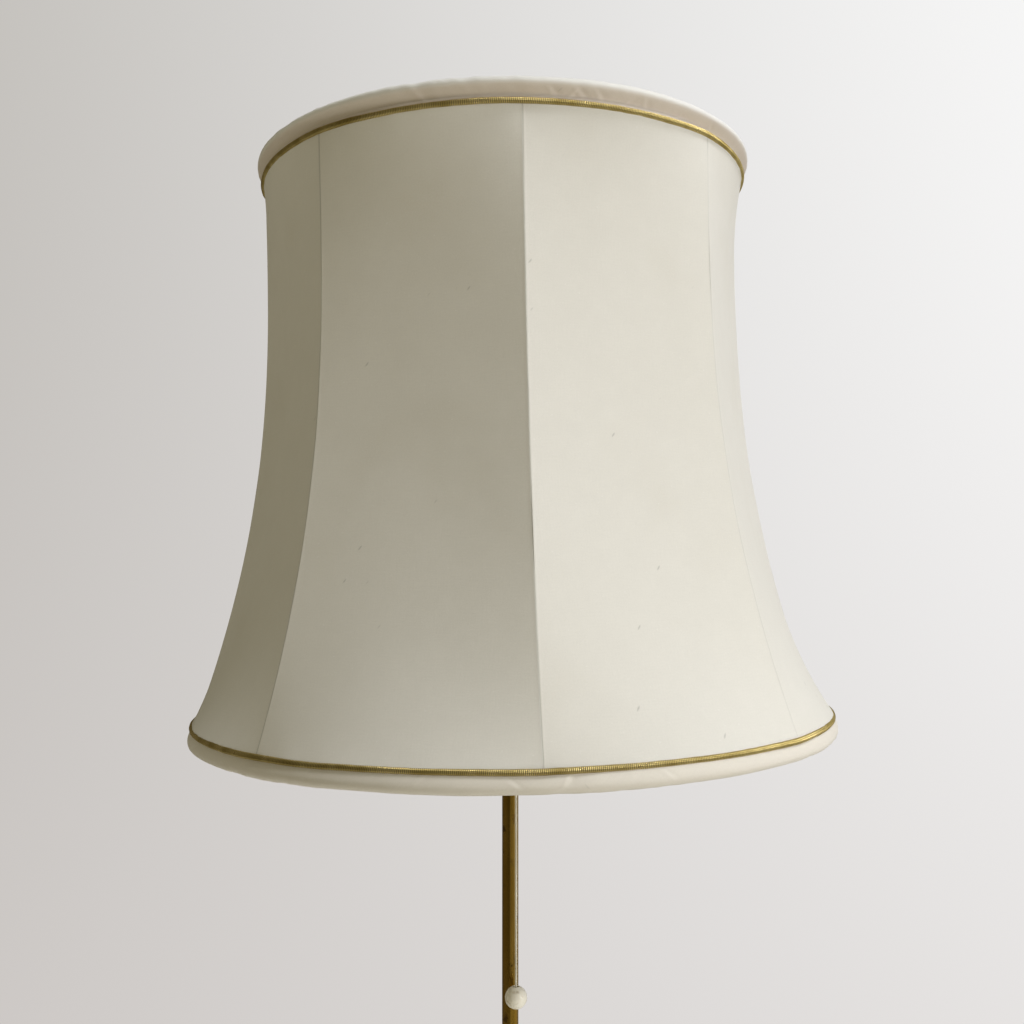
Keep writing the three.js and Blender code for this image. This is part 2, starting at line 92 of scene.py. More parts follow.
shade_joint = next(j for j in frame["joints"] if j["name"] == "shade_turn")
lean_pivot = Vector(shade_joint["pos_m"])
lean_axis = Vector(shade_joint["axis"])
lean = (Matrix.Translation(lean_pivot) @ Vector((0, 0, 1)).rotation_difference(lean_axis).to_matrix().to_4x4()
        @ Matrix.Translation(-lean_pivot))
lean_shade = lean @ Matrix.Rotation(front_rib_turn, 4, "Z")
print(f"the shade leans {math.degrees(lean_axis.angle((0, 0, 1))):.2f} degrees")

# %% [markdown]
# ## Camera
# The camera stands at the height of the shade, a little under a metre from the pole, and looks
# slightly upwards. It is made before any piece.

# %% Camera
camera_data = bpy.data.cameras.new("camera")
camera_data.lens, camera_data.sensor_width = 38.35, 36.0
camera = bpy.data.objects.new("camera", camera_data)
camera_rise, camera_turn = 0.0334, -0.00905  # radians from level and from straight ahead
camera.location = (-0.0066, -0.8807, 1.2978)
camera.rotation_euler = (math.pi / 2 + camera_rise, 0.0, camera_turn)
bpy.context.scene.collection.objects.link(camera)
bpy.context.scene.camera = camera

# %% [markdown]
# ## Small helpers
# Operators act on whatever is selected, so every new piece starts from an empty selection. A
# finished piece keeps its object at the origin: its place is in its mesh.

# %% Selecting, finishing and placing a piece
def select_only(*objs):
    for other in bpy.context.selected_objects:
        other.select_set(False)
    for obj in objs:
        obj.select_set(True)
    bpy.context.view_layer.objects.active = objs[0] if objs else None


def new_mesh(name, points, edges=(), faces=()):
    mesh = bpy.data.meshes.new(name)
    mesh.from_pydata([tuple(p) for p in points], edges, faces)
    obj = bpy.data.objects.new(name, mesh)
    bpy.context.scene.collection.objects.link(obj)
    select_only(obj)
    return obj


def take_all():
    bpy.ops.mesh.select_all(action="SELECT")


def face_out():
    bpy.ops.mesh.normals_make_consistent(inside=False)


def edit(obj, *steps):
    """Runs edit-mode steps on everything in one mesh."""
    select_only(obj)
    bpy.ops.object.mode_set(mode="EDIT")
    take_all()
    for step in steps:
        step()
    bpy.ops.object.mode_set(mode="OBJECT")


def apply_modifier(obj, kind, **settings):
    modifier = obj.modifiers.new(kind.title(), kind)
    for key, value in settings.items():
        setattr(modifier, key, value)
    select_only(obj)
    bpy.ops.object.modifier_apply(modifier=modifier.name)


def smooth(obj, degrees=35):
    select_only(obj)
    bpy.ops.object.shade_smooth_by_angle(angle=math.radians(degrees))


def move_points(obj, matrix):
    obj.data.transform(matrix)
    obj.data.update()


def finish_piece(obj, body, node, material, place=None, slot=None):
    """Puts a piece in its place, gives it its finish and lets it stand for its CAD node. The slot
    is not used."""
    if place is not None:
        move_points(obj, place)
    obj.data.materials.clear()
    obj.data.materials.append(material)
    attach(obj, body)
    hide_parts(node)
    slot or material.name.split(".")[0]
    return obj

# %% [markdown]
# ## Writing finishes
# A procedural finish is a graph of nodes, but its arithmetic reads best as plain expressions. One
# small class wraps a socket, so that `mask * 0.4 + 0.2` adds the Math nodes for it. Colours are
# mixed with Mix nodes, because a Math node would turn them grey.

# %% Sockets that add up
class Signal:
    """A number that varies over a surface."""

    def __init__(self, graph, socket):
        self.graph, self.socket = graph, socket

    def math(self, operation, *others):
        inputs = dict(enumerate((self, *others)))
        return self.graph.add("ShaderNodeMath", dict(operation=operation), inputs).out()

    def __add__(self, other):
        return self.math("ADD", other)

    __radd__ = __add__

    def __mul__(self, other):
        return self.math("MULTIPLY", other)

    __rmul__ = __mul__

    def __sub__(self, other):
        return self.math("SUBTRACT", other)

    def __rsub__(self, other):
        return self.graph.add("ShaderNodeMath", dict(operation="SUBTRACT"), {0: other, 1: self}).out()

    def above(self, edge, softness=0.1):
        """0 below the edge, 1 above it, with a soft step between."""
        return self.graph.add("ShaderNodeMapRange", dict(interpolation_type="SMOOTHSTEP"), {
            "Value": self, "From Min": edge - softness, "From Max": edge + softness}).out()

    def wave(self, pitch):
        """A rounded thread profile that repeats once in each pitch, from -1 to 1."""
        return (self * (2 * math.pi / pitch)).math("SINE")


# %% Trees of nodes
class NodeBox:
    """A node, whose outputs are taken as signals."""

    def __init__(self, graph, node):
        self.graph, self.node = graph, node

    def out(self, name=0):
        return Signal(self.graph, self.node.outputs[name])


class NodeGraph:
    """A tree that is written down node by node."""

    def __init__(self, tree):
        self.tree = tree
        tree.nodes.clear()

    def add(self, kind, settings=None, sockets=None):
        node = self.tree.nodes.new(kind)
        for key, value in (settings or {}).items():
            setattr(node, key, value)
        self.fill(node, sockets or {})
        return NodeBox(self, node)

    def fill(self, node, sockets):
        for key, value in sockets.items():
            if isinstance(value, Signal):
                self.tree.links.new(value.socket, node.inputs[key])
            else:
                node.inputs[key].default_value = value

    def split(self, vector):
        box = self.add("ShaderNodeSeparateXYZ", None, {0: vector})
        return box.out("X"), box.out("Y"), box.out("Z")

    def colour(self, factor, first, second):
        """The first colour where the factor is 0, the second where it is 1."""
        first, second = (c if isinstance(c, Signal) else (*c, 1.0) for c in (first, second))
        inputs = {"Factor": factor, 6: first, 7: second}
        return self.add("ShaderNodeMix", dict(data_type="RGBA"), inputs).out(2)


# %% A finish
class Finish(NodeGraph):
    """One material, ending in one Principled shader."""

    def __init__(self, name):
        self.material = bpy.data.materials.new(name)
        self.material.use_nodes = True
        super().__init__(self.material.node_tree)
        self.shader = self.add("ShaderNodeBsdfPrincipled")
        self.add("ShaderNodeOutputMaterial", None, {"Surface": self.shader.out()})

    def set(self, **sockets):
        self.fill(self.shader.node, {key.replace("_", " "): value for key, value in sockets.items()})
        return self

    def place(self, scale=(1, 1, 1)):
        """Object coordinates in metres, stretched."""
        where = self.add("ShaderNodeTexCoord").out("Object")
        return self.add("ShaderNodeMapping", None, {"Vector": where, "Scale": scale}).out()

    def cut_place(self, scale=(1, 1, 1), turn=0.0):
        """The cloth's own flat coordinates in metres, turned and then stretched."""
        where = self.add("ShaderNodeUVMap", dict(uv_map="cut")).out()
        turned_place = self.add("ShaderNodeMapping", None, {"Vector": where, "Rotation": (0, 0, turn)}).out()
        return self.add("ShaderNodeMapping", None, {"Vector": turned_place, "Scale": scale}).out()

    def mark(self, name):
        """A number that the mesh itself carries, point by point."""
        return self.add("ShaderNodeAttribute", dict(attribute_name=name)).out("Fac")

    def cloud(self, vector, scale, detail=3.0, roughness=0.55):
        return self.add("ShaderNodeTexNoise", None, {
            "Vector": vector, "Scale": scale, "Detail": detail, "Roughness": roughness}).out("Fac")

    def cells(self, vector, scale):
        return self.add("ShaderNodeTexVoronoi", None, {"Vector": vector, "Scale": scale})

    def bump(self, height, distance, strength=1.0, under=None):
        sockets = {"Height": height, "Distance": distance, "Strength": strength}
        if under is not None:
            sockets["Normal"] = under
        return self.add("ShaderNodeBump", None, sockets).out()

# %% [markdown]
# ## Cloth finishes
# The shade is covered in a cream cloth with a fine plain weave. At arm's length the weave reads as
# a soft grain with thicker slubs along and across it, a few faint soil marks and short snags. The
# pattern follows the cloth's own cut, kept in a UV map in metres, so it bends with each panel.

# %% Shade cloth, trim cloth and lining
def toned(colour, share):
    """A colour made lighter or darker."""
    return tuple(min(1.0, c * share) for c in colour)


def cloth_finish(name, light, shadow, pitch=0.00042, bias=0.0, wear_and_seam_shade=1.0):
    f = Finish(name)
    place = f.cut_place(turn=bias)
    across, along, _ = f.split(place)
    weave = across.wave(pitch) * along.wave(pitch)
    warp_slub = f.cloud(f.cut_place((900, 110, 1), bias), 1.0, 3.0)
    weft_slub = f.cloud(f.cut_place((110, 900, 1), bias), 1.0, 3.0)
    slubs = warp_slub + weft_slub
    grain = f.cloud(place, 850.0, 3.0)
    mottle = f.cloud(place, 55.0, 4.0)
    soil = f.cloud(place, 9.0, 3.0)
    snag_cells = f.cells(f.cut_place((150, 48, 1), 0.7), 1.0)
    chosen = f.split(snag_cells.out("Color"))[0].above(0.915, 0.004)
    snags = (1 - snag_cells.out("Distance").above(0.08, 0.05)) * chosen * wear_and_seam_shade
    flecks = f.cloud(place, 420.0, 1.0).above(0.745, 0.02) * wear_and_seam_shade
    base = f.colour(mottle.above(0.5, 0.3), light, toned(light, 0.97))
    base = f.colour(soil.above(0.62, 0.12) * (0.4 * wear_and_seam_shade), base, shadow)
    base = f.colour((1 - slubs.above(0.98, 0.14)) * 0.5, base, toned(light, 0.955))
    base = f.colour(grain.above(0.5, 0.25) * 0.35, base, toned(light, 1.05))
    base = f.colour(snags * 0.42, base, toned(light, 0.42))
    base = f.colour(flecks * 0.3, base, (0.9, 0.89, 0.85))
    # Painted shade: a dark line along each seam, in the groove beside the rib, stronger on the panels that
    # face away from the light.
    base = f.colour(f.mark("seam") * (0.55 * wear_and_seam_shade), base, toned(light, 0.45))
    # Painted highlight: the top trim's upper rim is painted near white, where light from above falls on it.
    base = f.colour(f.mark("painted_rim_highlight"), base, (0.87, 0.86, 0.83))
    roughness = mottle * 0.12 + 0.74
    fine = f.bump(weave * 0.4 + slubs * 1.0 + grain * 0.25, 0.0002, 0.27)
    full = f.bump(snags, 0.0003, 0.5, under=fine)
    f.set(Base_Color=base, Roughness=roughness, Normal=full, Sheen_Weight=0.18, Sheen_Roughness=0.5,
          Specular_IOR_Level=0.3)
    return f.material


shade_cloth = cloth_finish("shade_cloth", (0.79, 0.772, 0.712), (0.68, 0.65, 0.565))
on_the_bias = dict(bias=0.785, wear_and_seam_shade=0.4)
trim_cloth = cloth_finish("trim_cloth", (0.80, 0.76, 0.68), (0.66, 0.60, 0.50), **on_the_bias)
# Painted shade: a darker copy of the trim cloth for the top trim, whose band under the rim faces down, away
# from the light.
aged_trim_cloth = cloth_finish("aged_trim_cloth", (0.70, 0.63, 0.55), (0.55, 0.48, 0.40), **on_the_bias)
lining_cloth = cloth_finish("lining_cloth", (0.82, 0.79, 0.71), (0.74, 0.69, 0.58), pitch=0.0006, wear_and_seam_shade=0.3)

# %% [markdown]
# ## Cord finishes
# The piping is a gimp cord: a core wrapped in flat gold-coloured thread. The wraps are real
# geometry; its finish adds the threads inside each wrap, dulls the metal where dust settles and
# paints the valleys between the wraps near black, as painted shade. The pull cord is plain cream
# cotton.

# %% Gold gimp and cream cotton
def gimp_finish():
    f = Finish("gold_gimp")
    dust = f.cloud(f.place(), 60.0, 3.0)
    crown = f.mark("crown")
    colour = f.colour(dust.above(0.5, 0.25), (0.72, 0.575, 0.24), (0.44, 0.33, 0.095))
    # Painted shade: the valleys between the wraps are painted near black.
    colour = f.colour(crown, (0.045, 0.03, 0.006), colour)
    thread = f.cloud(f.place((1500, 1500, 1500)), 1.0, 1.0)
    f.set(Base_Color=colour, Roughness=dust * 0.2 + 0.2, Metallic=crown * 0.5 + 0.45,
          Normal=f.bump(thread, 0.0001, 0.4))
    return f.material


def cotton_finish():
    f = Finish("cream_cotton")
    fibre = f.cloud(f.place((2500, 2500, 600)), 1.0, 2.0)
    grime = f.cloud(f.place(), 30.0, 3.0)
    colour = f.colour(grime.above(0.55, 0.2), (0.80, 0.76, 0.64), (0.66, 0.60, 0.46))
    f.set(Base_Color=colour, Roughness=fibre * 0.1 + 0.82, Normal=f.bump(fibre, 0.00015, 0.5),
          Sheen_Weight=0.2)
    return f.material


gold_gimp = gimp_finish()
cream_cotton = cotton_finish()

# %% [markdown]
# ## Metal finishes
# The pole is lacquered brass that has aged to a dull olive brown. It shows drawn lines along its
# length, cloudy tarnish and a few darker blotches. The fittings inside the shade were never
# handled, so their brass is brighter. Zinc-plated steel has a soft spangle.

# %% Brass, zinc and wire
def brass_finish(name, bright, tarnish, blotch, age, roughness):
    f = Finish(name)
    drawn = f.cloud(f.place((1100, 1100, 6)), 1.0, 3.0)
    cloudy = f.cloud(f.place((1, 1, 0.35)), 38.0, 5.0)
    spots = f.cloud(f.place((1, 1, 0.7)), 120.0, 4.0)
    colour = f.colour(cloudy.above(0.62 - 0.2 * age, 0.22), bright, tarnish)
    colour = f.colour(spots.above(0.72 - 0.08 * age, 0.06) * (0.55 + 0.4 * age), colour, blotch)
    rough = cloudy * 0.16 + drawn * 0.06 + spots.above(0.66, 0.08) * 0.12 + (roughness - 0.11)
    f.set(Base_Color=colour, Roughness=rough, Metallic=1.0, Normal=f.bump(drawn, 0.00006, 0.35))
    return f.material


aged_brass = brass_finish("aged_brass", (0.44, 0.275, 0.055), (0.30, 0.175, 0.024), (0.12, 0.065, 0.016),
                          1.0, 0.24)
bright_brass = brass_finish("bright_brass", (0.78, 0.58, 0.24), (0.60, 0.43, 0.16), (0.36, 0.24, 0.10),
                            0.1, 0.26)


def steel_finish(name, light, dark, roughness):
    f = Finish(name)
    tone = f.split(f.cells(f.place(), 260.0).out("Color"))[0]
    haze = f.cloud(f.place(), 90.0, 4.0)
    colour = f.colour(tone * 0.5 + haze * 0.5, light, dark)
    f.set(Base_Color=colour, Roughness=haze * 0.2 + (roughness - 0.1), Metallic=1.0,
          Normal=f.bump(haze, 0.0001, 0.2))
    return f.material


zinc_steel = steel_finish("zinc_steel", (0.66, 0.67, 0.66), (0.50, 0.51, 0.51), 0.36)
steel_wire = steel_finish("steel_wire", (0.72, 0.73, 0.72), (0.55, 0.55, 0.54), 0.3)

# %% [markdown]
# ## The other finishes
# The ball is turned and lacquered cream, with grime where fingers and dust have sat. The base's
# hidden weight is a rough casting on pressed felt. Plastics, porcelain and opal glass each need
# only a fine texture and the right gloss.

# %% Ball, iron, felt, plastics, porcelain and glass
def plain_finish(name, light, dark, scale, roughness, depth=0.0001, **extra):
    """A material with one fine texture: its tone, roughness and relief all follow the grain."""
    f = Finish(name)
    grain = f.cloud(f.place(), scale, 5.0)
    broad = f.cloud(f.place(), scale / 12, 2.0)
    colour = f.colour(grain.above(0.5, 0.3) * 0.6 + broad.above(0.55, 0.2) * 0.4, light, dark)
    f.set(Base_Color=colour, Roughness=grain * 0.15 + (roughness - 0.07),
          Normal=f.bump(grain, depth, 0.4), **extra)
    return f.material


def ball_finish():
    f = Finish("cream_ball")
    speckle = f.cloud(f.place(), 900.0, 3.0)
    grime = f.cloud(f.place(), 210.0, 4.0)
    stain = f.cloud(f.place(), 85.0, 2.0)
    colour = f.colour(speckle.above(0.55, 0.2) * 0.5, (0.99, 0.96, 0.85), (0.96, 0.90, 0.74))
    colour = f.colour(grime.above(0.62, 0.08) * 0.55, colour, (0.60, 0.50, 0.34))
    colour = f.colour(stain.above(0.66, 0.05) * 0.7, colour, (0.40, 0.32, 0.21))
    f.set(Base_Color=colour, Roughness=grime * 0.25 + 0.25, Coat_Weight=0.15,
          Normal=f.bump(speckle, 0.00012, 0.4))
    return f.material


cream_ball = ball_finish()
cast_iron = plain_finish("cast_iron", (0.11, 0.11, 0.105), (0.06, 0.06, 0.06), 700.0, 0.8, 0.0004)
pressed_felt = plain_finish("pressed_felt", (0.15, 0.165, 0.14), (0.09, 0.10, 0.085), 1600.0, 0.97, 0.0006,
                            Sheen_Weight=0.3)
black_plastic = plain_finish("black_plastic", (0.045, 0.044, 0.043), (0.025, 0.025, 0.025), 900.0, 0.5)
lead_sheath = plain_finish("lead_sheath", (0.74, 0.66, 0.47), (0.64, 0.56, 0.38), 300.0, 0.45)
porcelain = plain_finish("porcelain", (0.86, 0.84, 0.79), (0.78, 0.75, 0.69), 250.0, 0.22, Coat_Weight=0.5)
opal_glass = plain_finish("opal_glass", (0.92, 0.91, 0.87), (0.87, 0.86, 0.81), 120.0, 0.18, 0.00003,
                          Coat_Weight=0.6)

# %% [markdown]
# ## The pull cord and its ball
# A limp cotton cord is tied to the switch's eye and pulled straight by the ball. It is laid from
# three strands. The mesh is a ring of points swept along the route and turned with the lay, so its
# edges run along the strands and the valleys between them stay crisp.

# %% Laid cord
def laid_cord(name, route, radius, strands, pitch, depth, sides):
    """A cord of twisted strands along a route of closely and evenly spaced points."""
    route = np.asarray(route, float)
    along = np.gradient(route, axis=0)
    along /= np.linalg.norm(along, axis=1)[:, None]
    upright = np.array([0.0, 0.0, 1.0]) if abs(along[0][2]) < 0.9 else np.array([0.0, 1.0, 0.0])
    side = np.cross(along, upright)
    side /= np.linalg.norm(side, axis=1)[:, None]
    up = np.cross(side, along)
    run = np.concatenate([[0], np.cumsum(np.linalg.norm(np.diff(route, axis=0), axis=1))])
    around = np.arange(sides) * 2 * math.pi / sides
    reach = radius * (1 - depth * (1 - np.abs(np.cos(strands * around / 2))))
    angle = around[None, :] + (run / pitch * 2 * math.pi)[:, None]
    points = (route[:, None, :] + side[:, None, :] * (np.cos(angle) * reach)[:, :, None]
              + up[:, None, :] * (np.sin(angle) * reach)[:, :, None])
    rings = len(route)
    faces = [tuple(range(sides))[::-1], tuple(range((rings - 1) * sides, rings * sides))]
    for i in range(rings - 1):
        a, b = i * sides, (i + 1) * sides
        faces += [(a + j, a + (j + 1) % sides, b + (j + 1) % sides, b + j) for j in range(sides)]
    obj = new_mesh(name, points.reshape(-1, 3), faces=faces)
    edit(obj, face_out)
    bpy.ops.object.shade_smooth()
    return obj


cord_x = cord_reach * math.sin(cord_turn)
cord_y = -cord_reach * math.cos(cord_turn)
ball_top = ball_height + math.sqrt(ball_radius ** 2 - ball_bore ** 2)
ball_bore_depth = 0.006
cord_top = eye_height - eye_radius - eye_wire - 0.0003
cord_end = ball_top - ball_bore_depth + 0.0003
cord_heights = np.linspace(cord_top, cord_end, 700)
cord_route = [(cord_x, cord_y, z) for z in cord_heights]
pull_cord = laid_cord("pull_cord_laid", cord_route, cord_radius, 3, 0.0055, 0.22, 12)
finish_piece(pull_cord, "pull", "pull_cord", cream_cotton, slot="cream_cord")
print(f"pull cord: {cord_top - cord_end:.4f} m long")

# %% [markdown]
# ## Turned pieces
# Tubes, collars, cups and the ball are all turned or spun on a lathe. Their outline is drawn as one
# chain of edges with its corners rounded, and Blender's spin operator carries it round the axis.
# Sixty-four steps keep the pole's fittings smooth, and the wide base cover takes twice as many.

# %% Outline, rounding and spin
def rounded(outline, radius, steps=4, closed=True):
    """The outline with every corner turned into a small arc, in millimetres."""
    count = len(outline)
    made = []
    for i, (x, y) in enumerate(outline):
        here = Vector((x, y))
        before, after = Vector(outline[i - 1]), Vector(outline[(i + 1) % count])
        at_end = not closed and i in (0, count - 1)
        if at_end:
            made.append((x, y))
            continue
        back, on = before - here, after - here
        turn = math.pi - back.angle(on)
        if turn < 0.15:
            made.append((x, y))
            continue
        reach = min(radius * math.tan(turn / 2), 0.45 * back.length, 0.45 * on.length)
        start, end = here + back.normalized() * reach, here + on.normalized() * reach
        for k in range(steps + 1):
            t = k / steps
            point = start * (1 - t) ** 2 + here * 2 * t * (1 - t) + end * t ** 2
            made.append(tuple(point))
    return made


def turned(name, outline, radius=0.3, steps=64, closed=True):
    """Spins an outline of [radius, height] pairs in millimetres round the Z axis."""
    line = rounded(outline, radius, closed=closed)
    count = len(line)
    edges = [(i, i + 1) for i in range(count - 1)] + ([(count - 1, 0)] if closed else [])
    obj = new_mesh(name, [(x * mm, 0, z * mm) for x, z in line], edges)
    edit(obj,
         lambda: bpy.ops.mesh.spin(steps=steps, angle=2 * math.pi, center=(0, 0, 0), axis=(0, 0, 1)),
         take_all,
         lambda: bpy.ops.mesh.remove_doubles(threshold=0.00001),
         lambda: bpy.ops.mesh.dissolve_degenerate(threshold=0.000002),
         take_all,
         face_out)
    smooth(obj)
    return obj


def turned_piece(node, how, outline, material=aged_brass, body="stand", place=None, **shape):
    """A finished turned piece that takes over from one CAD node."""
    return finish_piece(turned(f"{node}_{how}", outline, **shape), body, node, material, place)


def sleeve(outer, bore, bottom, top):
    """The outline of a plain round tube."""
    return [(bore, bottom), (outer, bottom), (outer, top), (bore, top)]


def drill(obj, name, radius, low, high, place):
    """Cuts a round hole out of a piece."""
    bit = turned(name, [(0, low), (radius, low), (radius, high), (0, high)], 0, 32, closed=False)
    move_points(bit, place)
    apply_modifier(obj, "BOOLEAN", operation="DIFFERENCE", object=bit, solver="EXACT")
    bpy.data.objects.remove(bit)
    smooth(obj)


def ball_outline(height, radius, bore, depth):
    opening = math.asin(bore / radius)
    arc = [(radius * math.sin(a), height - radius * math.cos(a))
           for a in np.linspace(0, math.pi - opening, 40)]
    return [*arc, (bore, arc[-1][1] - depth), (0, arc[-1][1] - depth)]


in_mm = 1 / mm
ball_line = ball_outline(*(size * in_mm for size in (ball_height, ball_radius, ball_bore, ball_bore_depth)))
ball = turned_piece("pull_ball", "turned", ball_line, cream_ball, "pull",
                    Matrix.Translation((cord_x, cord_y, 0)), radius=0.5, steps=48, closed=False)
print("ball:", len(ball.data.polygons), "faces")

# %% [markdown]
# ## The base
# A spun brass cover hides a cast-iron weight. It rises in two shallow steps to a slim neck, where
# a turned collar takes the pole. The lead leaves at the back through a plastic bushing.

# %% Base cover, collar, felt and bushing
def arc(centre, radius, start, end, count):
    """Points on an arc in millimetres, with angles in degrees."""
    return [(centre[0] + radius * math.cos(math.radians(a)), centre[1] + radius * math.sin(math.radians(a)))
            for a in np.linspace(start, end, count)]


def spun_shell(outside, wall):
    """An outside line and the same line one wall thickness inside it."""
    inside = []
    for i, point in enumerate(outside):
        before, after = outside[max(i - 1, 0)], outside[min(i + 1, len(outside) - 1)]
        run = Vector((after[0] - before[0], after[1] - before[1])).normalized()
        inside.append((point[0] - run.y * wall, point[1] + run.x * wall))
    return [*outside, *inside[::-1]]


cover_line = [
    (140, 2), (140, 12), *arc((134, 13), 6, 0, 80, 6), (116, 21), *arc((113.6, 25), 2.6, -60, 60, 5),
    (104, 28.4), (92, 30.2), (80, 32), (62, 34.2), (45, 36.8), (33, 39.6), (25, 42.4), (19.5, 45.4),
    (16, 48.2), (14, 50.4), (13, 52),
]
cover_wall = 1.2
lead_height = 7.2 * mm
to_the_back = Matrix.Rotation(-math.pi / 2, 4, "X")
base_cover = turned("base_cover_spun", spun_shell(cover_line, cover_wall), 0.4, 128)
drill(base_cover, "cable_hole", 4.2, 126, 146, Matrix.Translation((0, 0, lead_height)) @ to_the_back)
finish_piece(base_cover, "stand", "base_cover", aged_brass)

turned_piece("base_collar", "turned", [
    (5.3, 52.3), (12, 52.3), *arc((12, 54.3), 2, -70, 70, 7), (9, 57.8), *arc((11, 60.4), 2.8, -120, -200, 6),
    *arc((8.2, 63.4), 1.9, -50, 60, 6), (8.2, 65.7), (5.3, 65.7)])

felt_pad = turned("base_felt_disc", [(0, 0), (136.8, 0), (136.8, 3), (0, 3)], 0.8, 96, closed=False)
finish_piece(felt_pad, "stand", "base_felt", pressed_felt, slot="felt")

turned_piece("lead_bushing", "moulded", [
    (2.9, 0), (3.9, 0), (3.9, 7.5), (5.2, 7.8), *arc((4.4, 9.2), 0.8, 0, 90, 4), (2.9, 10)], black_plastic,
    place=Matrix.Translation((0, 132.8 * mm, lead_height)) @ to_the_back, radius=0.2, steps=48)
print("base cover:", len(base_cover.data.polygons), "faces")

# %% [markdown]
# ## The pole
# Three lengths of thin brass tube screw together with a small ring at each joint. Their ends are
# broken with a fine chamfer, which the spun outline gives as a small arc.

# %% Pole tubes and joint rings
pole_ring = 6
length = (pole_top - pole_bottom) * in_mm / 3
for i, name in enumerate(("lower", "middle", "upper")):
    clear = pole_ring / 2 + 0.3
    low = pole_bottom * in_mm + i * length + (clear if i > 0 else 0)
    high = pole_bottom * in_mm + (i + 1) * length - (clear if i < 2 else 0)
    outer, bore = pole_radius * in_mm, (pole_radius - pole_wall) * in_mm
    turned_piece(f"pole_{name}", "tube", sleeve(outer, bore, low, high))
for i, name in enumerate(("lower", "upper")):
    middle = pole_bottom * in_mm + (i + 1) * length
    turned_piece(f"joint_ring_{name}", "turned", [
        (5.3, middle - 3), (7.0, middle - 3), *arc((6.4, middle), 2.2, -60, 60, 9), (7.0, middle + 3),
        (5.3, middle + 3)], radius=0.25)
print(f"pole: three lengths of {length:.0f} mm")

# %% [markdown]
# ## The switch
# The pull switch sits in a spun brass cup under the lampholder. Its cord leaves through a small
# turned bush beside the pole, where a plunger with an eye comes down when the cord is pulled.

# %% Pole cap, cup, lid and bush
turn_switch = Matrix.Rotation(cord_turn, 4, "Z")
beside_the_pole = Matrix.Translation((0, -cord_reach, 0))
turned_piece("pole_cap", "turned", [
    (5.3, 1222.3), (8, 1222.3), *arc((7.6, 1225), 2, -60, 60, 7), (10, 1228), (12, 1229.4), (12, 1230),
    (5.3, 1230)])

cup_outside = [(5.3, 1230.3), (25, 1230.3), *arc((24.8, 1233.5), 3.2, -85, 0, 7), (28, 1262)]
cup_inside = [(26.8, 1262), *arc((24.8, 1233.5), 2.0, 0, -85, 7), (5.3, 1231.5)]
switch_cup = turned("switch_cup_spun", [*cup_outside, *cup_inside], 0.2)
drill(switch_cup, "bush_hole", 3.3, 1226, 1236, beside_the_pole)
finish_piece(switch_cup, "stand", "switch_cup", aged_brass, turn_switch)

turned_piece("switch_lid", "turned", [
    (5.3, 1262.3), (28, 1262.3), (28, 1263.4), (26.5, 1264.2), (5.3, 1264.2)], radius=0.4)

turned_piece("cord_bush", "turned", [
    (1.6, 1224.3), (2.4, 1224.3), (2.9, 1225.6), (3.6, 1227.3), (4.2, 1228.4), (4.2, 1230), (3, 1230),
    (3, 1234.3), (1.6, 1234.3)], bright_brass, place=turn_switch @ beside_the_pole, radius=0.25, steps=48)

plunger = turned("plunger_rod", [
    (0, 1219.6), (1.2, 1219.6), (1.2, 1242.3), (2, 1242.3), (2, 1247.3), (0, 1247.3)], 0.25, 32, closed=False)
select_only()
bpy.ops.mesh.primitive_torus_add(major_segments=48, minor_segments=16, major_radius=eye_radius,
                                 minor_radius=eye_wire)
eye = bpy.context.object
eye.data.transform(Matrix.Translation((0, 0, eye_height)) @ Matrix.Rotation(math.pi / 2, 4, "X"))
select_only(plunger, eye)
bpy.ops.object.join()
plunger.name = "switch_plunger_turned"
smooth(plunger)
finish_piece(plunger, "plunger", "switch_plunger", bright_brass, turn_switch @ beside_the_pole)
print("switch cup:", len(switch_cup.data.polygons), "faces")

# %% [markdown]
# ## Lampholder and bulb
# The lampholder is a two-part brass shell round a porcelain block. The bulb's cap carries a rolled
# thread, drawn here as ridges one thread apart, and its globe is opal glass.

# %% Lampholder shells, porcelain, sleeve and bulb
turned_piece("lampholder_cap", "spun", [
    (5.3, 1272), (11, 1272), (13.6, 1273.2), (15.8, 1275.6), (17, 1279), (17, 1290), (16.2, 1290),
    (16.2, 1279.4), (15.2, 1276.6), (13.2, 1274.4), (11, 1273.2), (5.3, 1273.2)])

turned_piece("lampholder_shell", "spun", [
    (17, 1290.3), (17, 1293), (16.7, 1293.7), (17, 1294.4), (17, 1327), (16.7, 1327.7), (17, 1328.4),
    (17, 1332), (16.2, 1332), (16.2, 1290.3)], radius=0.25)

block = turned("lampholder_block", [
    (0, 1290.3), (15.7, 1290.3), (15.7, 1302), (12, 1302), (11.4, 1301.2), (0, 1301.2)], 0.5, closed=False)
finish_piece(block, "stand", "lampholder_insulator", porcelain)

thread_pitch = 3.6


def thread_line(radius, low, high, depth):
    """A rolled round thread, as the outside line of a turned piece."""
    heights = np.linspace(low, high, int((high - low) / thread_pitch * 10))
    return [(radius - depth * (0.5 - 0.5 * math.cos(2 * math.pi * (z - low) / thread_pitch)), z)
            for z in heights]


sleeve_wall = 0.5
sleeve_thread = thread_line(14.3, 1302.3, 1327.5, 0.35)
sleeve_inside = [(r - sleeve_wall, z) for r, z in sleeve_thread[::-1]]
turned_piece("screw_sleeve", "rolled", [*sleeve_thread, *sleeve_inside], bright_brass, radius=0)

turned_piece("bulb_cap", "rolled", [
    (0, 1305.6), (4.5, 1305.6), (5, 1306.2), (9, 1308.8), (11.8, 1310.4),
    *thread_line(13.1, 1311, 1325.4, 0.7), (13.1, 1330), (0, 1330)],
    zinc_steel, "bulb", radius=0.2, closed=False)

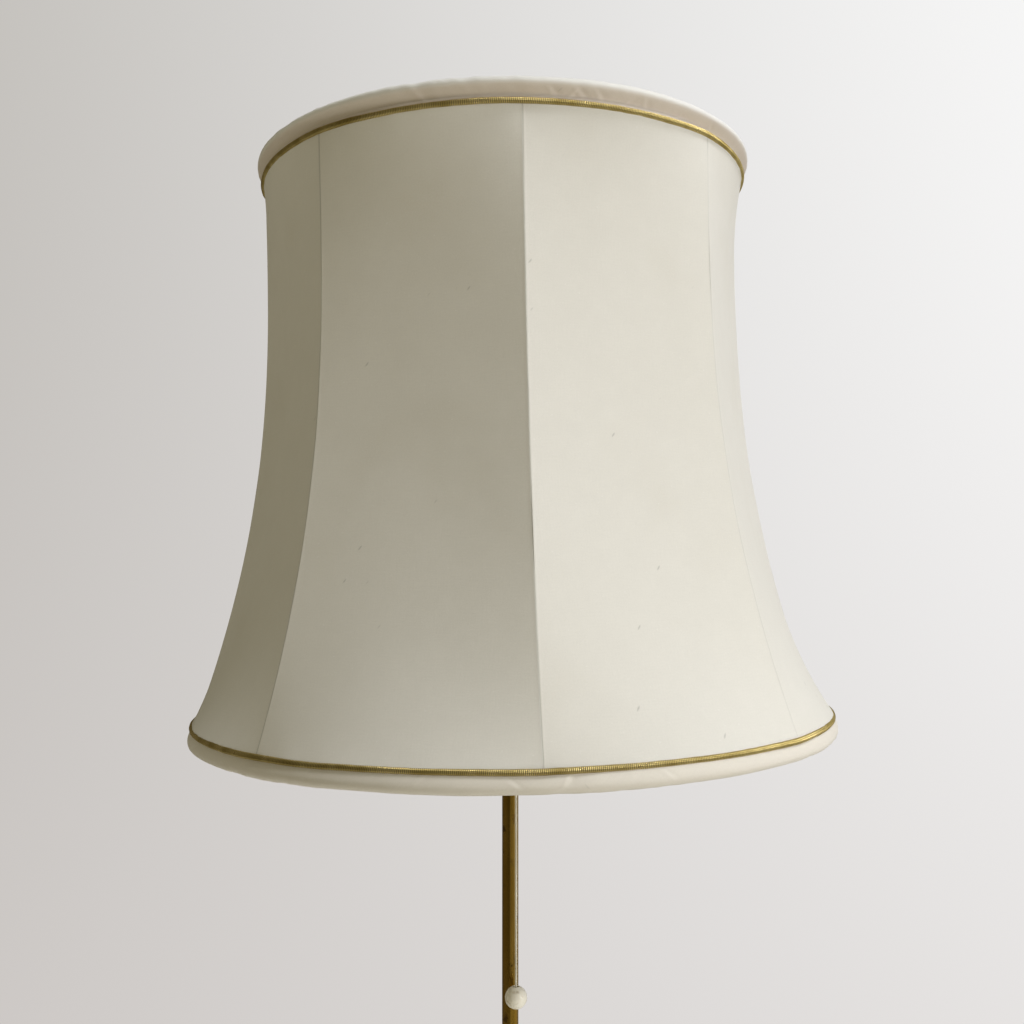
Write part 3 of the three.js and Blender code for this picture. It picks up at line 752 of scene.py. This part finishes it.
glass_wall, globe_top = 1, 1414
globe_outside = [
    (12.6, 1330.3), (12.9, 1334), (13.6, 1338.5), (15, 1344), (17.4, 1350.5), (20.6, 1357.5),
    (24.3, 1364.5), *arc((0, globe_top - 30), 30, -28, 90, 22)[:-1], (0, globe_top)]


def inside_glass(r, z):
    """The wall is measured inwards, and at the globe's top downwards as well."""
    at_top = z > globe_top - 14 and r < 14
    return max(r - glass_wall, 0), z - glass_wall * at_top


globe_inside = [inside_glass(r, z) for r, z in globe_outside]
bulb_glass = turned("bulb_globe", [*globe_outside, *globe_inside[::-1]], 0)
finish_piece(bulb_glass, "bulb", "bulb_glass", opal_glass)
print("bulb globe:", len(bulb_glass.data.polygons), "faces")

# %% [markdown]
# ## Bent wires
# The harp and the shade's spider are bent from wire. A curve through the bend's own points is given
# a round section and then made a mesh, which keeps the section even round every bend.

# %% Harp, ferrules, stud and finial
def bent_wire(name, points, radius, sides=6):
    curve = bpy.data.curves.new(name, "CURVE")
    curve.dimensions = "3D"
    curve.bevel_depth = radius * mm
    curve.bevel_resolution = sides
    curve.resolution_u = 10
    curve.use_fill_caps = True
    spline = curve.splines.new("BEZIER")
    spline.bezier_points.add(len(points) - 1)
    for spot, point in zip(spline.bezier_points, points):
        spot.co = Vector(point) * mm
        spot.handle_left_type = spot.handle_right_type = "AUTO"
    obj = bpy.data.objects.new(name, curve)
    bpy.context.scene.collection.objects.link(obj)
    select_only(obj)
    bpy.ops.object.convert(target="MESH")
    edit(obj, lambda: bpy.ops.mesh.remove_doubles(threshold=0.00001), face_out)
    smooth(obj, 50)
    return obj


leg = 24.8
leg_bottom = 1288.3
harp_side = [
    (leg, leg_bottom), (leg, leg_bottom + 8), (leg, leg_bottom + 16), (leg, leg_bottom + 26),
    (leg + 9, leg_bottom + 38), (49, leg_bottom + 62), (58, leg_bottom + 96), (58, leg_bottom + 130),
    (50, leg_bottom + 168), (36, leg_bottom + 200), (20, leg_bottom + 230), (12, 1534), (6, 1538.7),
    (0, 1538.7)]
harp_points = [(x, 0, z) for x, z in harp_side] + [(-x, 0, z) for x, z in harp_side[-2::-1]]
harp = bent_wire("harp_bent", harp_points, 2.0)
finish_piece(harp, "stand", "harp", bright_brass, lean)

for side, sign in (("left", -1), ("right", 1)):
    turned_piece(f"harp_ferrule_{side}", "turned", [
        (2.3, 1281.4), (3.5, 1281.4), (3.5, 1283.4), (3.1, 1284), (3.1, 1292), (3.5, 1292.6), (3.5, 1295),
        (2.3, 1295)], bright_brass, f"{side}_ferrule", lean @ Matrix.Translation((sign * leg * mm, 0, 0)),
        radius=0.2, steps=40)

turned_piece("harp_stud", "turned", [
    (0, 1541), (8, 1541), (8, 1544), *thread_line(3.1, 1544, 1559.4, 0.25), (2.6, 1560), (0, 1560)],
    bright_brass, place=lean, radius=0.15, steps=48, closed=False)

turned_piece("finial", "turned", [
    (3.4, 1546.6), (8, 1546.6), *arc((7.6, 1547.8), 1.1, -60, 70, 6), (6.2, 1550.2), (4.9, 1551.6),
    (4.4, 1553.6), (4.9, 1555.4), *arc((0.6, 1563.4), 7.4, -48, 78, 18), (1.4, 1572.2), (0, 1572.6),
    (0, 1561), (3.4, 1561)], bright_brass, "finial", lean)

# %% [markdown]
# ## The spider
# A punched washer and four wire arms carry the shade. The arms rise from the washer and are welded
# to the top ring.

# %% Spider
washer = turned("spider_washer", sleeve(14, 3.4, 1544.3, 1546.3), 0.4)
arm_points = [(0, -12, 1545.3), (0, -30, 1547.3), (0, -80, 1559.3), (0, -130, 1574.3), (0, -160, 1583),
              (0, -172, 1585), (0, -185.8, 1585)]
arms = []
for i in range(4):
    arm = bent_wire(f"spider_arm_{i}", arm_points, 1.6)
    arm.data.transform(Matrix.Rotation((2 * i + 1) * rib_turn + front_rib_turn, 4, "Z"))
    arms.append(arm)
select_only(washer, *arms)
bpy.ops.object.join()
washer.name = "spider_welded"
smooth(washer, 40)
finish_piece(washer, "shade", "spider", steel_wire, lean)
print("spider:", len(washer.data.polygons), "faces")

# %% [markdown]
# ## The cloth's surface
# Each panel is cut to size and stretched between two ribs and the two rings. Between the ribs it is
# flat, at its ends it follows the round rings, and a stretched film passes from one to the other
# over about a third of its width. Over each rib the seam stands up as a fine ridge.

# %% Rib curve and cloth radius
def rib_radius(z):
    """The cloth's radius over a rib at heights above the bottom ring."""
    z = np.clip(np.asarray(z, float), 0, shade_height)
    knots = ((cloth_bottom, 0.0), *waist_curve, (cloth_top, shade_height))
    low, high = np.zeros_like(z), np.ones_like(z)

    def bezier(t, axis):
        a, b, c, d = (k[axis] for k in knots)
        return a * (1 - t) ** 3 + 3 * b * t * (1 - t) ** 2 + 3 * c * t * t * (1 - t) + d * t ** 3

    for _ in range(30):
        middle = (low + high) / 2
        below = bezier(middle, 1) < z
        low, high = np.where(below, middle, low), np.where(below, high, middle)
    return bezier(low, 0)


def cloth_radius(z, angle):
    """The cloth's radius at a height and an angle from the middle of its panel."""
    z = np.clip(np.asarray(z, float), 0, shade_height)
    radius = rib_radius(z)
    flat = radius * math.cos(rib_turn / 2) / np.cos(angle)
    width = 2 * radius * math.sin(rib_turn / 2)
    near_ring = np.exp(-math.pi * np.minimum(z, shade_height - z) / width)
    return flat + (radius - flat) * near_ring


def clouds(points, scale, seed):
    """Smooth repeatable noise at each point, from about -1 to 1."""
    shift = Vector((seed * 7.31, seed * 3.17, seed * 5.71))
    return np.array([noise.noise(Vector(p) * scale + shift) for p in points])


def grid_faces(columns, rows, closed=False):
    """Faces of a grid whose points are stored row by row."""
    across = np.arange(columns if closed else columns - 1)
    faces = []
    for j in range(rows - 1):
        a, b = j * columns + across, j * columns + (across + 1) % columns
        faces += list(zip(a.tolist(), b.tolist(), (b + columns).tolist(), (a + columns).tolist()))
    return faces


def ring_points(reach, turn, height):
    """Points at a reach from the axis, a turn from the front and a height."""
    return np.stack([reach * np.sin(turn), -reach * np.cos(turn), height + turn * 0], -1)


def outwards(points):
    """The direction away from the axis at each point."""
    return points * [1, 1, 0] / np.linalg.norm(points[:, :2], axis=1)[:, None]


def carry(obj, name, values):
    """Lets a mesh carry one number for each point, for its finish to read."""
    layer = obj.data.attributes.new(name, "FLOAT", "POINT")
    layer.data.foreach_set("value", np.asarray(values, np.float32).ravel())


def cloth_grid(name, points, size, cut, closed=True):
    """A cloth from a grid of points. Its flat cut, in metres, becomes its UV map."""
    obj = new_mesh(name, points, faces=grid_faces(*size, closed))
    layer = obj.data.uv_layers.new(name="cut")
    index = np.zeros(len(obj.data.loops), int)
    obj.data.loops.foreach_get("vertex_index", index)
    layer.data.foreach_set("uv", np.stack([cut[0][index], cut[1][index]], 1).ravel())
    return obj


def turn_out(obj, index):
    """Turns every face over where the chosen one looks towards the axis."""
    face = obj.data.polygons[index]
    if face.normal.dot(face.center * Vector((1, 1, 0))) < 0:
        obj.data.flip_normals()


def thicken(obj, thickness):
    apply_modifier(obj, "SOLIDIFY", thickness=thickness, offset=-1.0)
    bpy.ops.object.shade_smooth()


def one_side(obj):
    """The area of a thin cloth's outer side."""
    return sum(p.area for p in obj.data.polygons) / 2

# %% [markdown]
# ## Eight cloth panels
# The columns of each panel's grid stand close together next to the ribs, where the ridge and the
# sewn line need them, and further apart over the flat middle. Small puckers along both rings come
# from the hand stitches under the piping.

# %% Cut and stretch the panels
seam_columns = np.array([0.0, 0.15, 0.4, 0.75, 1.1, 1.5, 2.0, 2.7, 3.8, 5.5]) * mm
middle_columns = 26
panel_rows = 96
lap = 0.002


def panel_columns(half):
    """Distances from the panel's middle line, from one rib to the other."""
    edge = half - seam_columns
    inner = np.linspace(-(half - 0.009), half - 0.009, middle_columns)
    return np.concatenate([-edge, inner, edge[::-1]])


def seam_ridge(distance):
    """How far the cloth stands out near a rib: a rounded corner, a fine ridge and the sewn line."""
    corner = -0.38 * (np.sqrt(distance ** 2 + (0.6 * mm) ** 2) - distance)
    ridge = 0.16 * mm * np.exp(-(distance / (1.4 * mm)) ** 2)
    stitch = -0.03 * mm * np.exp(-(distance / (0.4 * mm)) ** 2)
    return corner + ridge + stitch


def cloth_panel(number):
    edge_rows = np.array([0, 1.5, 3, 5, 7.5]) * mm
    body_rows = np.linspace(0.010, shade_height - 0.010, panel_rows - 2 * len(edge_rows) - 2)
    rows = np.concatenate([[-lap], edge_rows, body_rows, shade_height - edge_rows[::-1],
                           [shade_height + lap]])
    centre = (number + 0.5) * rib_turn
    points, across, along, seam = [], [], [], []
    for z in rows:
        inside = float(np.clip(z, 0, shade_height))
        radius = float(rib_radius(inside))
        half = radius * math.sin(rib_turn / 2)
        x = panel_columns(half)
        angle = np.arctan2(x, radius * math.cos(rib_turn / 2))
        fade = 1 - math.exp(-min(inside, shade_height - inside) / 0.004)
        reach = cloth_radius(inside, angle) + seam_ridge(half - np.abs(x)) * (0.35 + 0.65 * fade)
        points.append(ring_points(reach, angle + centre, z))
        across.append(x)
        along.append(np.full_like(x, z))
        # The seam mark is painted shade in the groove beside each rib, made stronger on the left panels,
        # which face away from the light.
        seam.append((0.65 - 0.45 * math.sin(centre)) * np.exp(-((half - np.abs(x)) / (0.6 * mm)) ** 2))
    points, across, along = np.concatenate(points), np.concatenate(across), np.concatenate(along)
    near = np.clip(np.minimum(along, shade_height - along), 0, None)
    pucker = clouds(points * [1, 1, 0.25], 95.0, number) * np.exp(-near / 0.011) * 0.45 * mm
    slack = clouds(points, 17.0, 20 + number) * 0.5 * mm * (1 - np.exp(-near / 0.03))
    from_middle = np.abs(across)
    hold = np.clip((from_middle.max() - from_middle) / 0.02, 0, 1)
    points = points + outwards(points) * (pucker * np.clip(hold * 3, 0, 1) + slack * hold)[:, None]
    cut = (across + number * 0.37, along + number * 0.11)
    obj = cloth_grid(f"shade_panel_{number + 1}_cloth", points, (len(x), len(rows)), cut, closed=False)
    carry(obj, "seam", np.concatenate(seam))
    edit(obj, face_out)
    turn_out(obj, 0)
    thicken(obj, 0.0005)
    return obj


for number in range(ribs):
    cloth = cloth_panel(number)
    move_points(cloth, Matrix.Translation((0, 0, shade_bottom)))
    finish_piece(cloth, "shade", f"shade_panel_{number + 1}", shade_cloth, lean_shade)
print(f"each panel: {one_side(cloth):.4f} square metres of cloth, {len(cloth.data.polygons)} faces")

# %% [markdown]
# ## Lining
# An ivory lining hides the wires from inside. It follows the same flats a few millimetres further
# in, and light tucks run along it from both rings.

# %% Lining
lining_offset = 0.0054
lining_facets = 20
lining_rows = 70


def shade_lining():
    rows = np.linspace(0.004, shade_height - 0.006, lining_rows)
    angles = (np.arange(ribs * lining_facets) + 0.5) * rib_turn / lining_facets
    panel_angle = angles % rib_turn - rib_turn / 2
    points = np.concatenate([
        ring_points(cloth_radius(z, panel_angle) - lining_offset, angles, z) for z in rows])
    across, along = np.tile(angles * 0.2, lining_rows), np.repeat(rows, len(angles))
    near = np.minimum(along, shade_height - along)
    tucks = -np.abs(clouds(points * [1, 1, 0.12], 70.0, 40)) * 1.6 * mm * np.exp(-near / 0.05)
    soft = -np.abs(clouds(points * [1, 1, 0.5], 20.0, 41)) * 1.2 * mm
    points = points + outwards(points) * (tucks + soft)[:, None]
    obj = cloth_grid("shade_lining_cloth", points, (len(angles), lining_rows), (across, along))
    edit(obj, face_out)
    thicken(obj, 0.0004)
    return obj


lining = shade_lining()
move_points(lining, Matrix.Translation((0, 0, shade_bottom)))
finish_piece(lining, "shade", "shade_lining", lining_cloth, lean_shade)
print(f"lining: {one_side(lining):.3f} square metres")

# %% [markdown]
# ## Rolled trims
# A bias strip of the same cloth is folded over each ring and sewn down under the piping. It is
# slightly full, so it crumples into soft diagonal creases, with a few sharper folds where the
# fullness was pinched together at the sewing line.

# %% A smooth section
def smooth_line(points, count):
    """A smooth line through a few points, as evenly spaced points."""
    points = [Vector(p) for p in points]
    ends = [points[0] * 2 - points[1], *points, points[-1] * 2 - points[-2]]
    fine = []
    for i in range(1, len(ends) - 2):
        a, b, c, d = ends[i - 1], ends[i], ends[i + 1], ends[i + 2]
        for t in np.linspace(0, 1, 20, endpoint=False):
            fine.append((b * 2 + (c - a) * t + (a * 2 - b * 5 + c * 4 - d) * t * t
                         + (b * 3 - a - c * 3 + d) * t ** 3) / 2)
    fine.append(points[-1])
    fine = np.array([tuple(p) for p in fine])
    run = np.concatenate([[0], np.cumsum(np.linalg.norm(np.diff(fine, axis=0), axis=1))])
    even = np.linspace(0, run[-1], count)
    return np.stack([np.interp(even, run, fine[:, 0]), np.interp(even, run, fine[:, 1])], 1), run[-1]


# %% A strip rolled round a ring
trim_columns, trim_rows = 1200, 36
sewn_line = 0.15  # where the folds are pinched, as a share of the strip's width


def rolled_trim(name, ring, level, up, section, seed, pinches):
    """A folded strip round a ring. The section is [inwards, away] pairs in millimetres, and each
    pinch is a turn round the ring, a slant and a depth."""
    line, width = smooth_line(section, trim_rows)
    columns = np.ones(trim_columns)
    turn = np.ones((trim_rows, 1)) * np.arange(trim_columns) * 2 * math.pi / trim_columns
    run = np.linspace(0, 1, trim_rows)[:, None] * columns
    radius = ring - (line[:, 0] * mm)[:, None] * columns
    height = level + up * (line[:, 1] * mm)[:, None] * columns
    grid = ring_points(radius, turn, height)
    points = grid.reshape(-1, 3)
    across, along = (turn * ring).ravel(), (run * width * mm).ravel()
    ring_place = np.stack([points[:, 0], points[:, 1], along], 1)
    diagonal = np.stack([np.cos(turn + run * 0.16) * ring, np.sin(turn + run * 0.16) * ring, run * 0.012], 2)
    diagonal = diagonal.reshape(-1, 3)
    broad = clouds(ring_place, 22.0, seed) * 0.9
    creases = (1 - 2 * np.abs(clouds(diagonal, 62.0, seed + 1))) * 0.55
    fine = clouds(diagonal, 150.0, seed + 2) * 0.25
    where = np.clip(clouds(ring_place * [1, 1, 0], 9.0, seed + 3) * 2.2 + 0.45, 0.12, 1)
    past_sewing = run.ravel() - sewn_line
    folds = 0
    for place, slant, depth in pinches:
        beside = np.angle(np.exp(1j * (turn.ravel() + past_sewing * slant - place))) * ring
        fold = np.exp(-(beside / 0.0013) ** 2) - 0.9 * np.exp(-((beside - 0.0034) / 0.0026) ** 2)
        folds = folds + depth * fold * np.exp(-(past_sewing / 0.09) ** 2)
    held = np.sin(math.pi * np.clip(run.ravel() * 1.15, 0, 1)) ** 0.6
    lift = (broad * 0.4 + (creases + fine) * where * 0.8) * held * mm + folds * 0.6 * mm
    around = np.stack([np.cos(turn), np.sin(turn), turn * 0], 2).reshape(-1, 3)
    normal = np.cross(around, np.gradient(grid, axis=0).reshape(-1, 3)) * up
    normal /= np.linalg.norm(normal, axis=1)[:, None]
    points = points + normal * (lift - 0.35 * mm * held)[:, None]
    obj = cloth_grid(name, points, (trim_columns, trim_rows), (across, along))
    # This mark paints the top trim's upper edge lighter, as a painted highlight where light from above
    # catches the fold.
    carry(obj, "painted_rim_highlight", np.clip((run - 0.25) / 0.06, 0, 1) * (up > 0))
    turn_out(obj, len(obj.data.polygons) // 5)
    thicken(obj, 0.0006)
    return obj, width * mm


# %% Both trims
bottom_section = [(2.5, 1.0), (2.2, 2.2), (1.7, 3.4), (0.8, 5.2), (-0.1, 7.4), (-0.5, 9.8), (0.0, 12.2),
                  (1.6, 14.0), (4.6, 15.1), (8.6, 14.6), (12.0, 11.6), (13.2, 7.0), (12.6, 2.0), (11.2, -3.6)]
top_section = [(2.0, 0.2), (1.6, 1.2), (1.4, 2.2), (2.4, 3.2), (3.8, 3.9), (3.7, 4.8), (2.3, 6.2), (0.3, 7.8),
               (-1.4, 9.3), (-2.2, 10.8), (-2.2, 12.3), (-1.4, 13.9), (0.6, 15.4), (3.8, 16.1), (8.0, 15.2),
               (12.0, 11.4), (13.2, 6.5), (12.6, 1.5), (11.4, -4.6)]
bottom_trim, bottom_width = rolled_trim(
    "bottom_trim_rolled", bottom_piping, shade_bottom, -1, bottom_section, 51,
    [(-0.30, 0.2, 0.5), (-0.08, -0.2, 0.6), (0.05, 0.12, 0.9), (0.30, -0.2, 0.5), (1.9, 0.2, 0.6),
     (3.4, -0.2, 0.6), (5.1, 0.2, 0.5)])
top_trim, top_width = rolled_trim(
    "top_trim_rolled", top_piping, shade_top, 1, top_section, 61,
    [(0.10, 0.25, 0.8), (0.17, -0.2, 0.8), (0.20, 0.28, 1.0), (0.27, 0.25, 0.9), (0.38, -0.22, 0.9),
     (0.45, 0.12, 0.9), (0.62, -0.2, 0.7), (0.80, 0.2, 0.7), (-0.35, 0.2, 0.5), (2.6, 0.2, 0.7),
     (4.4, -0.2, 0.6)])
hem_share, ring_inset = 1.03, 0.004  # the strip's hem, and how far inside the piping it is sewn
# The top trim takes the darker copy of the trim cloth, as painted shade.
for trim, node, width, ring, cloth in (
        (bottom_trim, "bottom_trim", bottom_width, bottom_piping, trim_cloth),
        (top_trim, "top_trim", top_width, top_piping, aged_trim_cloth)):
    finish_piece(trim, "shade", node, cloth, lean_shade, "trim_cloth")
    flat_width, flat_length = round(width * hem_share, 3), round(2 * math.pi * (ring - ring_inset), 3)
    print(f"{node}: a strip {width * 1000:.0f} mm wide, {len(trim.data.polygons)} faces")

# %% [markdown]
# ## Gold piping
# The piping covers the stitches at both rings. It is sewn on by hand, so it wanders a little, and
# it is pulled slightly flatter between the ribs.

# %% Piping
gimp_radius, wrap_pitch = 0.0021, 0.0012
wrap_lobe = np.array([-0.38, -0.02, 0.06, -0.02]) * mm  # the valley, and three rows over the wrap
wrap_crown = np.array([0.0, 0.85, 1.0, 0.85])
gimp_sides = 12


def piping(name, ring, level, seed):
    """A gimp ring: a core wrapped with one fat thread, whose rows follow the thread's slant."""
    rows_per_wrap = len(wrap_lobe)
    rows = round(2 * math.pi * ring / wrap_pitch) * rows_per_wrap
    row, side = np.meshgrid(np.arange(rows), np.arange(gimp_sides), indexing="ij")
    angle = (row + rows_per_wrap * side / gimp_sides) * 2 * math.pi / rows
    middle = ring_points(1, angle[:, 0], 0)
    wander = clouds(middle, 6.0, seed) * 0.4 * mm + clouds(middle, 30.0, seed + 1) * 0.12 * mm
    between_ribs = angle % rib_turn - rib_turn / 2
    flat = (np.cos(between_ribs) - math.cos(rib_turn / 2)) * 0.016
    around = side * 2 * math.pi / gimp_sides
    thickness = gimp_radius + wrap_lobe[row % rows_per_wrap]
    points = ring_points(ring - flat + thickness * np.cos(around), angle,
                         level + wander[:, None] + thickness * np.sin(around))
    index = np.arange(rows * gimp_sides).reshape(rows, gimp_sides)
    beside = np.concatenate([index[:, 1:], np.roll(index[:, :1], -rows_per_wrap, 0)], 1)
    ahead, across_ahead = np.roll(index, -1, 0), np.roll(beside, -1, 0)
    faces = np.stack([index, beside, across_ahead, ahead], 2).reshape(-1, 4)
    obj = new_mesh(name, points.reshape(-1, 3), faces=faces.tolist())
    # The crown mark is 0 in the valleys between the wraps, which the finish paints near black as painted
    # shade.
    carry(obj, "crown", wrap_crown[row % rows_per_wrap])
    edit(obj, face_out)
    bpy.ops.object.shade_smooth()
    return obj


# each piping is drawn tight, so it sits a little inside the ring's drawn size, and the bottom one low
for node, ring, level, seed in (("bottom_piping", bottom_piping - 0.0020, shade_bottom - 0.0012, 70),
                                ("top_piping", top_piping - 0.0017, shade_top, 75)):
    gimp = piping(f"{node}_gimp", ring, level, seed)
    finish_piece(gimp, "shade", node, gold_gimp, lean_shade, "gold_cord")
    print(f"{node}: {len(gimp.data.polygons)} faces")

# %% [markdown]
# ## Hidden pieces
# Nuts, threaded tubes, the weight and the rest of the hidden pieces keep their own solids. The ones
# with machined corners are copied, merged and given a small bevel, which is how a real edge
# catches light. The others only need their finish.

# %% Bevelled copies and finishes for what stays
def bevelled_copy(node, material, width=0.25):
    obj = bpy.data.objects.new(f"{node}_machined", frame["nodes"][node].data.copy())
    bpy.context.scene.collection.objects.link(obj)
    edit(obj, lambda: bpy.ops.mesh.remove_doubles(threshold=0.000005),
         lambda: bpy.ops.mesh.dissolve_limited(angle_limit=math.radians(2)),
         take_all,
         face_out)
    apply_modifier(obj, "BEVEL", width=width * mm, segments=2, limit_method="ANGLE",
                   angle_limit=math.radians(40))
    smooth(obj, 40)
    finish_piece(obj, "stand", node, material)


for node in ("base_locknut", "harp_locknut", "harp_saddle", "base_washer"):
    bevelled_copy(node, zinc_steel)
bevelled_copy("switch_body", black_plastic, 0.5)

stays = {
    "base_weight": cast_iron, "base_nipple": zinc_steel, "joint_nipple_lower": zinc_steel,
    "joint_nipple_upper": zinc_steel, "top_nipple": zinc_steel, "inner_lead": lead_sheath,
    "centre_contact": bright_brass, "shade_frame": steel_wire,
}
for node, material in stays.items():
    mesh = frame["nodes"][node].data
    mesh.materials.clear()
    mesh.materials.append(material)

# %% [markdown]
# ## Floor and light
# A pale floor fades out at its edge, so the lamp stands in a plain pale room. Two soft lights stand
# to the right, one at the shade's height and one near the ceiling, and a weak one below them gives
# the light that a floor throws back. The rest of the room is dim and slightly warm, which keeps the
# left panels in shade. Brass mirrors a room of its own, with light and dark bands that draw the
# pole's roundness, while the backdrop that the camera sees stays pale.

# %% Floor
def fading_floor():
    select_only()
    bpy.ops.mesh.primitive_circle_add(vertices=128, radius=2.05, fill_type="NGON")
    floor = bpy.context.object
    floor.name = "floor"
    f = Finish("pale_floor")
    x, y, _ = f.split(f.place())
    far = (x * x + y * y).math("SQRT")
    grain = f.cloud(f.place(), 40.0, 4.0)
    f.set(Base_Color=f.colour(grain, (0.80, 0.795, 0.78), (0.77, 0.765, 0.75)), Roughness=0.7,
          Alpha=1 - far.above(1.45, 0.55))
    floor.data.materials.append(f.material)
    floor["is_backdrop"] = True


fading_floor()


# %% Three soft lights
def soft_light(name, place, size, power, colour):
    """A round light that looks at the middle of the shade."""
    data = bpy.data.lights.new(name, "AREA")
    data.shape, data.size, data.energy, data.color = "DISK", size, power, colour
    light = bpy.data.objects.new(name, data)
    light.location = place
    light.rotation_euler = (Vector((0, 0, 1.3)) - Vector(place)).to_track_quat("-Z", "Y").to_euler()
    bpy.context.scene.collection.objects.link(light)
    return light


daylight, warm_light = (0.955, 0.965, 1.0), (1.0, 0.955, 0.85)
soft_light("window_light", (3.56, -2.05, 2.17), 1.3, 69.0, daylight)
soft_light("ceiling_light", (1.82, -1.05, 4.94), 1.3, 92.0, daylight)
bounce = soft_light("floor_bounce", (1.52, -1.28, 0.16), 1.2, 13.5, warm_light)
bounce.visible_glossy = False

# %% The room's own light
world = bpy.data.worlds.new("room")
bpy.context.scene.world = world
world.use_nodes = True
room = NodeGraph(world.node_tree)


def gradient(value, *steps):
    """A colour ramp through (place, red, green, blue) steps."""
    ramp = room.add("ShaderNodeValToRGB", None, {0: value})
    marks = ramp.node.color_ramp.elements
    while len(marks) < len(steps):
        marks.new(0.5)
    for mark, (place, *colour) in zip(marks, steps):
        mark.position, mark.color = place, (*colour, 1)
    return ramp.out()


def stretch(value, low, high):
    """Turns the span from low to high into 0 to 1."""
    return room.add("ShaderNodeMapRange", None, {"Value": value, "From Min": low, "From Max": high}).out()


def glow(colour):
    return room.add("ShaderNodeBackground", None, {"Color": colour, "Strength": 1.0}).out()


def choose(factor, first, second):
    return room.add("ShaderNodeMixShader", None, {0: factor, 1: first, 2: second}).out()


direction = room.add("ShaderNodeTexCoord").out("Generated")
sideways, _, upwards = room.split(direction)
towards = room.add("ShaderNodeVectorMath", dict(operation="DOT_PRODUCT"), {
    0: direction, 1: (-0.55, -0.45, -0.70)}).out("Value")
soft_room = gradient(stretch(towards, -0.35, 1.0), (0.0, 0.02, 0.01, 0.0), (0.26, 0.075, 0.055, 0.02),
                     (1.0, 0.49, 0.45, 0.33))
room_colour = room.colour(stretch(upwards, 0.6, 1.0), soft_room, (0.58, 0.57, 0.47))
mirrored = gradient(stretch(sideways, -1, 1), (0.0, 0.16, 0.14, 0.10), (0.42, 0.07, 0.06, 0.04),
                    (0.52, 0.30, 0.29, 0.26), (0.66, 0.55, 0.54, 0.5), (0.8, 0.2, 0.19, 0.17),
                    (1.0, 0.8, 0.8, 0.78))
# Painted light on the backdrop: darker on the left and lighter on the right, most of all at the top right, as
# on a wall lit from the right.
side_step = stretch(sideways, -0.45, 0.45)
lower_wall = room.colour(side_step, (0.60, 0.57, 0.55), (0.79, 0.77, 0.76))
upper_wall = room.colour(side_step, (0.53, 0.51, 0.48), (0.95, 0.95, 0.95))
backdrop = room.colour(stretch(upwards, -0.4, 0.45), lower_wall, upper_wall)
ray = room.add("ShaderNodeLightPath")
lit = choose(ray.out("Is Glossy Ray"), glow(room_colour), glow(mirrored))
seen = choose(ray.out("Is Camera Ray"), lit, glow(backdrop))
room.add("ShaderNodeOutputWorld", None, {"Surface": seen})
bpy.context.scene.view_settings.view_transform = "Standard"

# %% [markdown]
# ## The visual box
# The box round the visual model is printed, in metres.

# %% The visual box
low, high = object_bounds()
print("visual box in metres:", [round(x, 4) for x in low], [round(x, 4) for x in high])
